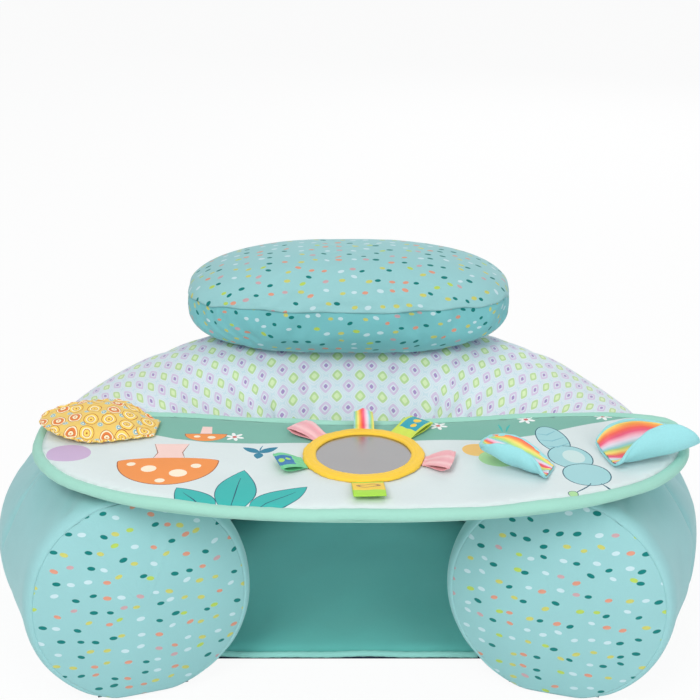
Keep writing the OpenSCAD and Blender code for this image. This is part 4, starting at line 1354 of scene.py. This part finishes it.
def meadow_details():
    """A second, small toadstool in the meadow, and blades of grass."""
    x, d, half, high = -0.118, 0.098, 0.017, 0.014
    cap = [(x + half * math.cos(a), d + high * math.sin(a)) for a in np.linspace(0, math.pi, 20)]
    out = [("pink_pale", [(-0.122, 0.084), (-0.114, 0.084), (-0.113, 0.099), (-0.123, 0.099)]),
           ("ink_brown", grown(cap, x, d, 1.04, 1.05, 0.0975)), ("orange", cap),
           ("cream", oval(-0.125, 0.103, 0.0028, 0.0022, 0, 12)),
           ("cream", oval(-0.113, 0.1045, 0.0034, 0.0026, 0, 12))]
    for x, lean in ((-0.040, -0.002), (-0.037, 0.001), (0.128, -0.001), (0.131, 0.002)):
        out.append(("teal", stroke([(x, 0.093), (x + lean, 0.085), (x + 2.2 * lean, 0.079)], 0.0020)))
    return out


def tray_print():
    """The tray's printed picture, as (ink, outline in x and d), each shape over those before."""
    return meadow_shapes() + leaf_shapes() + toadstool_shapes() + butterfly_shapes() + meadow_details()


INKS = {name: srgb(*colour) for name, colour in {
    "panel": (222, 232, 232), "green": (124, 182, 166), "white": (246, 248, 246),
    "red": (206, 96, 92), "lilac": (206, 180, 214), "orange_pale": (248, 202, 120),
    "green_pale": (176, 220, 160), "teal": (58, 182, 176), "ink": (36, 92, 110),
    "blue": (44, 128, 156), "pink_pale": (250, 214, 206), "orange": (244, 150, 78),
    "cream": (255, 240, 214), "ink_brown": (150, 84, 52), "sky": (166, 214, 218),
    "sky_dark": (136, 194, 204), "sky_pale": (206, 230, 228), "pink": (244, 150, 160)}.items()}


def tray_crown(x, y):
    """How far the padded panel stands over the tray's flat top."""
    place = np.stack([x, y], -1)
    return 0.0004 * waves(41, place, 0.10) + 0.00025 * waves(42, place, 0.04)


def make_tray_top():
    """The tray's padded panel, cut along the edges of its print."""
    outline = even_loop(tray_outline(2 * BINDING_R - 0.0012), 0.005)
    drawing = tray_print()
    shapes = [at_tray(shape) for _, shape in drawing]
    flat, faces, marks = filled([tuple(p) for p in outline], 0.009, shapes)
    names = list(INKS)
    inks = [names.index(drawing[m - 1][0]) if m else 0 for m in marks]
    near = np.array([np.min(np.hypot(*(outline - p).T)) for p in flat])
    z = TRAY_TOP - 0.0004 + tray_crown(flat[:, 0], flat[:, 1]) * smooth(near / 0.012)
    z -= 0.0016 * bell(near, 0.003)
    piece = new_piece("tray_panel", "tray", np.column_stack([flat, z]), faces,
                      [printed("print_" + n, INKS[n]) for n in names], "panel_print",
                      replaces=("tray_top_fabric", "tray_foam"), thick=0.001, levels=0, inks=inks,
                      uvs=plan_uvs(flat, faces))


def make_tray_bottom():
    """The underside: a side that turns in under the binding, and a flat face cut to its edge."""
    step = 0.006
    face_z = TRAY_LOW + 0.0002
    count = len(even_loop(tray_outline(0.0), step))
    rows = []
    for inset, z in ((0.0052, TRAY_TOP - 0.0088), (0.0070, TRAY_LOW + 0.0030), (0.0100, TRAY_LOW + 0.0010),
                     (0.0150, face_z)):
        loop = even_loop(tray_outline(inset), step)
        if len(loop) != count:
            at = np.linspace(0, len(loop), count, endpoint=False)
            whole = np.arange(len(loop) + 1)
            loop = np.stack([np.interp(at, whole, np.append(loop[:, i], loop[0, i])) for i in (0, 1)], -1)
        rows.append(np.column_stack([loop, np.full(count, z)]))
    flat, faces, _ = filled([tuple(p) for p in rows[-1][:, :2]], 0.02)

    def key(p):
        return round(p[0], 7), round(p[1], 7)

    edge = {key(p): (len(rows) - 1) * count + i for i, p in enumerate(rows[-1])}
    verts = list(np.concatenate(rows))
    ids = []
    for p in flat:
        ids.append(edge.get(key(p), len(verts)))
        if ids[-1] == len(verts):
            verts.append((p[0], p[1], face_z))
    side_faces, _ = grid_faces(len(rows), count, wrap_cols=True)
    all_faces = side_faces + [[ids[v] for v in f][::-1] for f in faces]
    piece = new_piece("tray_underside", "tray", verts, all_faces, mint_cloth, "panel_plain",
                      replaces=("tray_bottom_fabric",), thick=0.0008, levels=0,
                      uvs=plan_uvs(verts, all_faces))


def make_binding():
    """The rolled, slightly puckered edge all round the tray."""
    step, sides = 0.0035, 14
    loop = even_loop(tray_outline(BINDING_R), step)
    s = np.arange(len(loop)) * step
    wobble = 0.0004 * np.sin(s * 43) + 0.0003 * np.sin(s * 91 + 1)
    path = np.column_stack([loop, TRAY_TOP - BINDING_R + wobble])
    around = np.sin(circle(sides))[None, :]
    twist = s[:, None] * 2 * math.pi / 0.013 + 1.4 * around + 2.5 * np.sin(s * 17)[:, None]
    pucker = 0.00022 * np.sin(twist) * (0.6 + 0.4 * np.sin(s * 29 + 2))[:, None]
    radius = BINDING_R + 0.0001 + pucker + 0.00018 * np.sin(s * 61)[:, None]
    piece = tube_piece("tray_edge", "tray", path, radius, sides, mint_cloth, "binding", closed=True,
                       replaces=("tray_binding",))


make_tray_top()
make_tray_bottom()
make_binding()


# --- Mirror
def make_mirror():
    """The mirror's stitched cloth surround, and its film."""
    centre_x, centre_y = MIRROR_X, WELL_Y - MIRROR_D
    count = 144
    angle = circle(count)

    def rim(radius):
        return [centre_x + radius * np.cos(angle), centre_y + radius * np.sin(angle)]

    profile = [(FRAME_R - 0.0004, 0.0002), (FRAME_R + 0.0002, 0.0011), (FRAME_R - 0.0006, 0.0022),
               (FRAME_R - 0.0016, 0.0026), (FRAME_R - 0.0024, 0.0022), (FRAME_R - 0.0034, 0.0029),
               (FRAME_R - 0.0060, 0.0031), (MIRROR_R + 0.0034, 0.0030), (MIRROR_R + 0.0022, 0.0026),
               (MIRROR_R + 0.0014, 0.0029), (MIRROR_R + 0.0003, 0.0028), (MIRROR_R - 0.0004, 0.0021),
               (MIRROR_R + 0.0002, 0.0014)]
    ripple = 0.00025 * np.sin(angle * 37) + 0.00035 * np.sin(angle * 11 + 1)
    rows = []
    for r, z in profile:
        lift = z + 0.00012 * np.sin(angle * 53 + r * 900)
        share = 1.0 if r > FRAME_R - 0.003 else 0.35
        rows.append(np.stack([*rim(r + ripple * share), TRAY_TOP + lift], -1))
    surround = grid_piece("mirror_surround", "tray", rows, yellow_cloth, "yellow_cloth", wrap_cols=True,
                          flip=True, thick=0.0006, replaces=("mirror_frame", "mirror_backing"))
    points, film_r = [], 0.0415
    for r in (0.0012, 0.004, 0.008, 0.013, 0.018, 0.024, 0.030, 0.035, 0.0385, film_r):
        xy = np.stack(rim(r), -1)
        z = TRAY_TOP + 0.0013 + 0.00010 * waves(51, xy, 0.050) + 0.0003 * (1 - (r / film_r) ** 2)
        points.append(np.column_stack([xy, z]))
    faces, _ = grid_faces(len(points), count, wrap_cols=True)
    verts = np.concatenate(points + [points[0].mean(0)[None]])
    faces = backwards(faces) + [[len(verts) - 1, j, (j + 1) % count] for j in range(count)]
    new_piece("mirror_sheet", "tray", verts, faces, film, "mirror_film", replaces=("mirror_film",),
              thick=0.0005)


make_mirror()


# --- Ribbon loops
def loop_place(points, angle, tilt, z):
    """Points of a loop, x out from its root, put at the frame's edge."""
    a, e = math.radians(angle), math.radians(tilt)
    x, y, h = points[..., 0], points[..., 1], points[..., 2]
    out, up = x * math.cos(e) - h * math.sin(e), x * math.sin(e) + h * math.cos(e)
    out = out + FRAME_R + 0.0015
    return np.stack([MIRROR_X + out * math.cos(a) - y * math.sin(a),
                     WELL_Y - MIRROR_D + out * math.sin(a) + y * math.cos(a), z + up], -1)


def make_loop(name, angle, width, length, tilt, finish, slot, root, seed, sway=0.0, curl=0.0):
    """A ribbon folded back on itself, sewn under the frame's edge. root is the share of its
    width there, sway how far its end leans aside, and curl how far its end bows in across."""
    opening, hidden = 0.0036, 0.0009
    f = np.linspace(0, 1, 26)
    reach = length - 0.0016
    low_x = -hidden + (reach + hidden) * f
    swell = np.sin(math.pi * f ** 1.7) ** 0.6
    turn = np.radians(np.linspace(-90, 90, 9)[1:-1])
    x = np.concatenate([low_x, reach + 0.0015 * np.cos(turn), low_x[::-1]])
    layer = 0.0003 + opening / 2 * swell * smooth(low_x / 0.005)
    h = np.concatenate([-layer, 0.0009 * np.sin(turn), layer[::-1]])
    across = np.linspace(-0.5, 0.5, 17)
    share = np.clip(x / length, 0, 1)[:, None]
    half = width * mix(root, 1.0, smooth(share * 1.2))
    points = np.zeros((len(x), len(across), 3))
    points[..., 0] = x[:, None] - 0.0010 * np.abs(across * 2) ** 2 * share * (seed % 2)
    points[..., 1] = half * across + sway * share ** 2
    folds = across * 2 * math.pi * (1.5 + seed % 3)
    points[..., 2] = h[:, None] + 0.0005 * np.sin(folds + seed) * (1.1 - share) * smooth(share * 4)
    if curl:
        roll = curl * share * (across * 2)
        points[..., 0] -= width * 0.16 * np.abs(np.sin(roll))
        points[..., 1] *= 1 - 0.10 * np.abs(roll)
        points[..., 2] -= width * 0.22 * (1 - np.cos(roll))
    placed = loop_place(points, angle, tilt, TRAY_TOP + 0.0013)
    placed[..., 2] = np.maximum(placed[..., 2], TRAY_TOP + 0.0009)
    along = np.concatenate([[0], np.cumsum(np.hypot(np.diff(x), np.diff(h)))])
    pattern = across * width * (1.9 if curl else 1)
    uv = np.stack(np.broadcast_arrays(along[:, None] / along[-1], pattern[None, :]), -1)
    piece = grid_piece(name + "_ribbon", name, placed, finish, slot, uv=uv, thick=0.0005, replaces=(name,))


def tag(name, border, field, spot, low, high, half=0.0090, spots=2, long=0.0034, wide=0.0034, ring=0.0):
    """A woven tag: a plain field with oval spots in it, inside a border. Its cloth runs from
    0 at one sewn end, over the fold at 0.5, to 1. ring is the share of a spot left open."""
    finish = Finish(name)
    uv = finish.cloth_uv()
    along, across, _ = finish.split(uv)
    inner = (along > low) * (along < high) * (abs(across) < half)
    colour = finish.blend(inner, srgb(*border), srgb(*field))
    for k in range(spots):
        place = low + (high - low) * (k + 0.7) / (spots + 0.4)
        shrink = 1 - 0.2 * k
        gap = ((along - place) * (0.062 / (long * shrink))) ** 2.0 + \
            ((across + 0.002 * k) / (wide * shrink)) ** 2.0
        gap = finish.math("SQRT", gap)
        colour = finish.blend((gap < 1.0) * (gap > ring), colour, srgb(*spot))
    finish.set(colour=mottled(finish, colour, 0.04, 0.01), rough=0.55, sheen=0.1, specular=0.4)
    finish.bump((finish.threads(uv, 700.0, "Y", Distortion=0.5), 0.2, 0.0002),
                (finish.noise(finish.place(), 120, 2.0), 0.2, 0.001))
    return finish.material


teal_tag = tag("teal_tag", (206, 226, 84), (34, 160, 178), (246, 206, 62), 0.52, 0.84)
yellow_tag = tag("yellow_tag", (170, 222, 70), (246, 206, 62), (172, 120, 60), 0.64, 0.96, half=0.2,
                 spots=1, long=0.0042, wide=0.0095, ring=0.7)
green_tag = tag("green_tag", (112, 206, 150), (40, 116, 172), (170, 222, 90), 0.50, 0.80)

make_loop("loop_pink_left", 136, 0.023, 0.027, 8, pink_satin, "pink_satin", 0.72, 1, sway=0.001)
make_loop("loop_rainbow", 89, 0.018, 0.018, 60, rainbow_satin, "rainbow_satin", 0.95, 2, sway=0.001,
          curl=1.5)
make_loop("loop_teal_right", 51, 0.023, 0.029, 8, teal_tag, "teal_tag", 0.92, 4)
make_loop("loop_pink_right", -13, 0.031, 0.024, 9, pink_satin, "pink_satin", 0.55, 3, sway=-0.001)
make_loop("loop_yellow_front", -87, 0.025, 0.032, 8, yellow_tag, "yellow_tag", 1.0, 6)
make_loop("loop_green_left", 197, 0.028, 0.022, 11, green_tag, "green_tag", 0.72, 8)


# --- Cloth wings
def wing_point(f, q, h, shape):
    """Point of a wing: f from root to tip, q from -1 at its front edge to 1 at its back edge,
    h in from its outer face. It is flat in the middle, and each edge curls up on an arc. Of
    the shape's pairs, the first is for the front edge."""
    front = q < 0
    curl, wide, widest = (np.where(front, *shape[key]) for key in ("curl", "wide", "widest"))
    reach = wide * np.sin(math.pi * (0.08 + 0.86 * f) ** widest) ** 0.55
    radius = curl / mix(0.4, 1, smooth(f / 0.15))
    s = reach * np.abs(q)
    a = np.maximum(s - WING_FLAT, 0) / radius
    y = np.where(s < WING_FLAT, s, WING_FLAT + (radius - h) * np.sin(a))
    z = np.where(s < WING_FLAT, h, radius - (radius - h) * np.cos(a))
    return np.stack([shape["length"] * f - 0.004 * q * q * f, np.sign(q) * y,
                     0.0012 + z + shape["rise"] * f * f], -1)


def at_root(points, root, flip):
    """Points of a wing or leaf, x out from its root, put on the tray. root is (x, d, heading)."""
    x, d, heading = root
    a = math.radians(heading)
    px, py = points[..., 0], points[..., 1] * (-1 if flip else 1)
    return np.stack([x + px * math.cos(a) - py * math.sin(a),
                     WELL_Y - d + px * math.sin(a) + py * math.cos(a), TRAY_TOP + points[..., 2]], -1)


def make_wing(side, root, flip, seed, **shape):
    """A cupped plush wing with a rolled rim and a satin lining."""
    q_line = np.concatenate([np.linspace(-1, -0.1, 42), np.linspace(-0.06, 1, 26)])
    f, q = np.meshgrid(np.linspace(0, 1, 40), q_line, indexing="ij")
    place = np.stack([f * 0.07, q * 0.035], -1)
    soft = 0.0007 * waves(61 + seed, place, 0.030) + 0.0005 * np.sin(q * 13 + seed) * (1 - f) ** 2
    outer = wing_point(f, q, soft * smooth(f * 6) - 0.0004, shape)
    edge_f = np.concatenate([np.linspace(0.02, 0.985, 40), np.full(34, 0.993),
                             np.linspace(0.985, 0.02, 40)])
    edge_q = np.concatenate([np.full(40, -0.985), np.linspace(-0.95, 0.95, 34), np.full(40, 0.985)])
    rim = wing_point(edge_f, edge_q, 0.0012, shape)
    rim_r = 0.0015 + 0.0002 * np.sin(np.arange(len(rim)) * 0.9)[:, None]
    lining_f, lining_q = 0.01 + 0.97 * f, q * 0.965
    fold = 0.0004 * np.sin(lining_q * 24 + 3 * lining_f + seed) + 0.0004 * waves(71 + seed, place, 0.018)
    lining = wing_point(lining_f, lining_q, 0.0020 + fold, shape)
    from_rim = (1 - lining_q) * 0.033
    stripe = 0.262 + from_rim if side == "left" else 0.270 - from_rim
    length = shape["length"]
    satin_uv = np.stack([lining_f * length, stripe + 0.0008 * np.sin(f * 9)], -1)
    grid_piece(
        "wing_plush_" + side, "wing_" + side, at_root(outer, root, flip), plush_cloth, "plush",
        uv=np.stack([f * length, q * 0.034], -1), flip=not flip, thick=-0.0016,
        replaces=("wing_" + side,))
    tube_piece(
        "wing_rim_" + side, "wing_" + side, at_root(rim, root, flip), rim_r, 10, plush_cloth, "plush",
        replaces=("wing_" + side,))
    grid_piece(
        "wing_satin_" + side, "wing_" + side, at_root(lining, root, flip), rainbow_satin,
        "rainbow_satin", uv=satin_uv, flip=flip, thick=0.0006, replaces=("wing_lining_" + side,))


make_wing("left", (0.159, 0.174, 157), True, 1, length=0.058, rise=0.015, curl=(0.011, 0.032),
          wide=(0.031, 0.026), widest=(0.95, 1.3))
make_wing("right", (0.206, 0.150, 13), False, 2, length=0.074, rise=0.010, curl=(0.0145, 0.026),
          wide=(0.044, 0.037), widest=(1.2, 0.72))


# --- Crinkle leaf
def make_leaf():
    """The crinkle leaf: a puffed face, a flat underside and a rolled hem."""
    rows, cols = 60, 47
    f, q = np.meshgrid(np.linspace(0, 1, rows), np.linspace(-1, 1, cols), indexing="ij")
    back = LEAF_HALF * np.sin(math.pi * (0.10 + 0.88 * f)) ** 0.7
    front = LEAF_HALF * np.sin(math.pi * (0.16 + 0.83 * f) ** 1.5) ** 0.55
    half = np.where(q > 0, front, back)
    scallop = 0.0005 * np.sin(f * 66) * np.sign(q) * np.abs(q) ** 8
    y = half * q + scallop
    place = np.stack([f * LEAF_LEN, y], -1)
    edge = np.minimum((1 - np.abs(q)) * half, np.minimum(f, 1 - f) * LEAF_LEN)
    inside = smooth((edge - 0.0026) / 0.007)
    crinkle = 0.0008 * waves(81, place, 0.019) * inside + 0.0004 * waves(82, place, 0.008) * inside
    stitch = 0.0005 * bell(edge - 0.0028, 0.0008) * (0.6 + 0.4 * np.sin(f * 210 + q * 60))
    hem = 0.0004 * np.sin(f * 66 + 1) * bell(edge, 0.003)
    root = (-0.159, 0.093, 176)
    rise = LEAF_LIFT * smooth(f / 0.4) * back / LEAF_HALF * (1 - q) / 2 * (1 - 0.3 * f) + 0.006 * f * f
    base = 0.0012 + rise + 0.0008 * np.sin(f * 9) * q ** 2
    puff = 0.0060 * (1 - q * q) ** 0.8 * np.sin(math.pi * f ** 0.9) * inside
    top = base + 0.0012 + puff + crinkle - stitch + hem
    low = base + 0.0002 - 0.0008 * inside + 0.5 * stitch + hem
    for name, z, flip, nodes in (("leaf_face", top, False, ("leaf_top_fabric", "leaf_film")),
                                 ("leaf_underside", low, True, ("leaf_bottom_fabric",))):
        points = np.stack([LEAF_LEN * f, y, z], -1)
        piece = grid_piece(name, "leaf", at_root(points, root, False), ringed_cloth, "ring_print",
                           uv=place + [0.3, 0.3], flip=flip, thick=0.0005, replaces=nodes)
    edge_f = np.concatenate([np.linspace(0, 1, 60), np.ones(10), np.linspace(1, 0, 60)])
    edge_q = np.concatenate([np.full(60, -1.0), np.linspace(-0.8, 0.8, 10), np.full(60, 1.0)])
    row = np.round(edge_f * (rows - 1)).astype(int)
    col = np.round((edge_q + 1) / 2 * (cols - 1)).astype(int)
    path = np.stack([LEAF_LEN * f[row, col], y[row, col], (top[row, col] + low[row, col]) / 2], -1)
    hem_r = 0.0011 + 0.00015 * np.sin(np.arange(len(path)) * 1.1)[:, None]
    hem_piece = tube_piece("leaf_hem", "leaf", at_root(path, root, False), hem_r, 8, ringed_cloth,
                           "ring_print", replaces=("leaf_top_fabric",))


make_leaf()

# --- CAD nodes that stay
for node_name, finish in (("zip_slider", metal), ("zip_pull", metal), ("tray_board", stiff_board)):
    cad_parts[node_name].data.materials.clear()
    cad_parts[node_name].data.materials.append(finish)


# --- Stage, light and camera
def make_floor_stage():
    """A white floor that the camera sees almost as bright as the paper of the photograph."""
    finish = Finish("stage_floor")
    colour = finish.blend(finish.noise(finish.place(), 3.0), srgb(250, 250, 250), srgb(246, 247, 248))
    finish.set(colour=colour, rough=0.9, specular=0.1)
    glow = finish.add("Emission", {"Color": (1, 1, 1, 1), "Strength": 1.0})
    to_camera = finish.add("LightPath", out="Is Camera Ray") * 0.93
    both = finish.add("MixShader", {0: to_camera, 1: finish.shader.outputs[0], 2: glow})
    finish.feed(finish.tree.nodes["Material Output"].inputs["Surface"], both)
    size = 4.0
    mesh = bpy.data.meshes.new("stage_floor")
    mesh.from_pydata([(-size, -size, 0), (size, -size, 0), (size, size, 0), (-size, size, 0)], [],
                     [(0, 1, 2, 3)])
    mesh.materials.append(finish.material)
    floor = bpy.data.objects.new("stage_floor", mesh)
    scene.collection.objects.link(floor)


def make_world():
    """Dim light from all round, from a room that the camera and reflections see as white."""
    world = bpy.data.worlds.new("studio")
    world.use_nodes = True
    nodes = Nodes(world.node_tree)
    dim = nodes.tree.nodes["Background"]
    dim.inputs["Color"].default_value = (0.93, 0.97, 1.0, 1)
    dim.inputs["Strength"].default_value = 0.42
    white = nodes.add("Background", {"Color": (1, 1, 1, 1), "Strength": 1.0})
    paths = nodes.node("LightPath").outputs
    seen = nodes.math("MAXIMUM", paths["Is Camera Ray"], paths["Is Glossy Ray"])
    room = nodes.add("MixShader", {0: seen, 1: dim.outputs[0], 2: white})
    nodes.feed(nodes.tree.nodes["World Output"].inputs["Surface"], room)
    scene.world = world


def make_lamp(name, place, target, size, watts, colour):
    data = bpy.data.lights.new(name, "AREA")
    data.shape = "DISK"
    data.size = size
    data.energy = watts
    data.color = colour
    lamp = bpy.data.objects.new(name, data)
    lamp.location = place
    lamp.rotation_euler = (Vector(target) - Vector(place)).to_track_quat("-Z", "Y").to_euler()
    scene.collection.objects.link(lamp)
    return lamp


def make_camera():
    """The photograph's view: 22 degrees down, straight at the open front."""
    data = bpy.data.cameras.new("camera")
    data.sensor_width = 36
    data.lens = 81.52
    data.shift_x = 0.0021
    data.shift_y = 0.0214
    camera = bpy.data.objects.new("camera", data)
    camera.location = (0, WELL_Y - 1.2936, 0.7491)
    camera.rotation_euler = (math.radians(90 - 22.1), 0, 0)
    scene.collection.objects.link(camera)
    scene.camera = camera


make_floor_stage()
make_world()
make_lamp("key", (-0.7, -1.5, 1.6), (0, 0, 0.12), 1.0, 18.5, (1.0, 0.99, 0.97))
make_lamp("fill", (1.0, -1.6, 1.1), (0, 0, 0.1), 1.2, 9.5, (0.97, 0.99, 1.0))
make_lamp("top", (0.0, -0.1, 2.0), (0, 0, 0.1), 1.4, 5, (1, 1, 1))
# The mirror would show this one to the camera, where the photograph's shows a grey room.
make_lamp("back", (0.5, 1.8, 1.0), (0, 0.1, 0.1), 1.4, 9, (1, 1, 1)).visible_glossy = False
make_camera()
scene.view_settings.view_transform = "Standard"
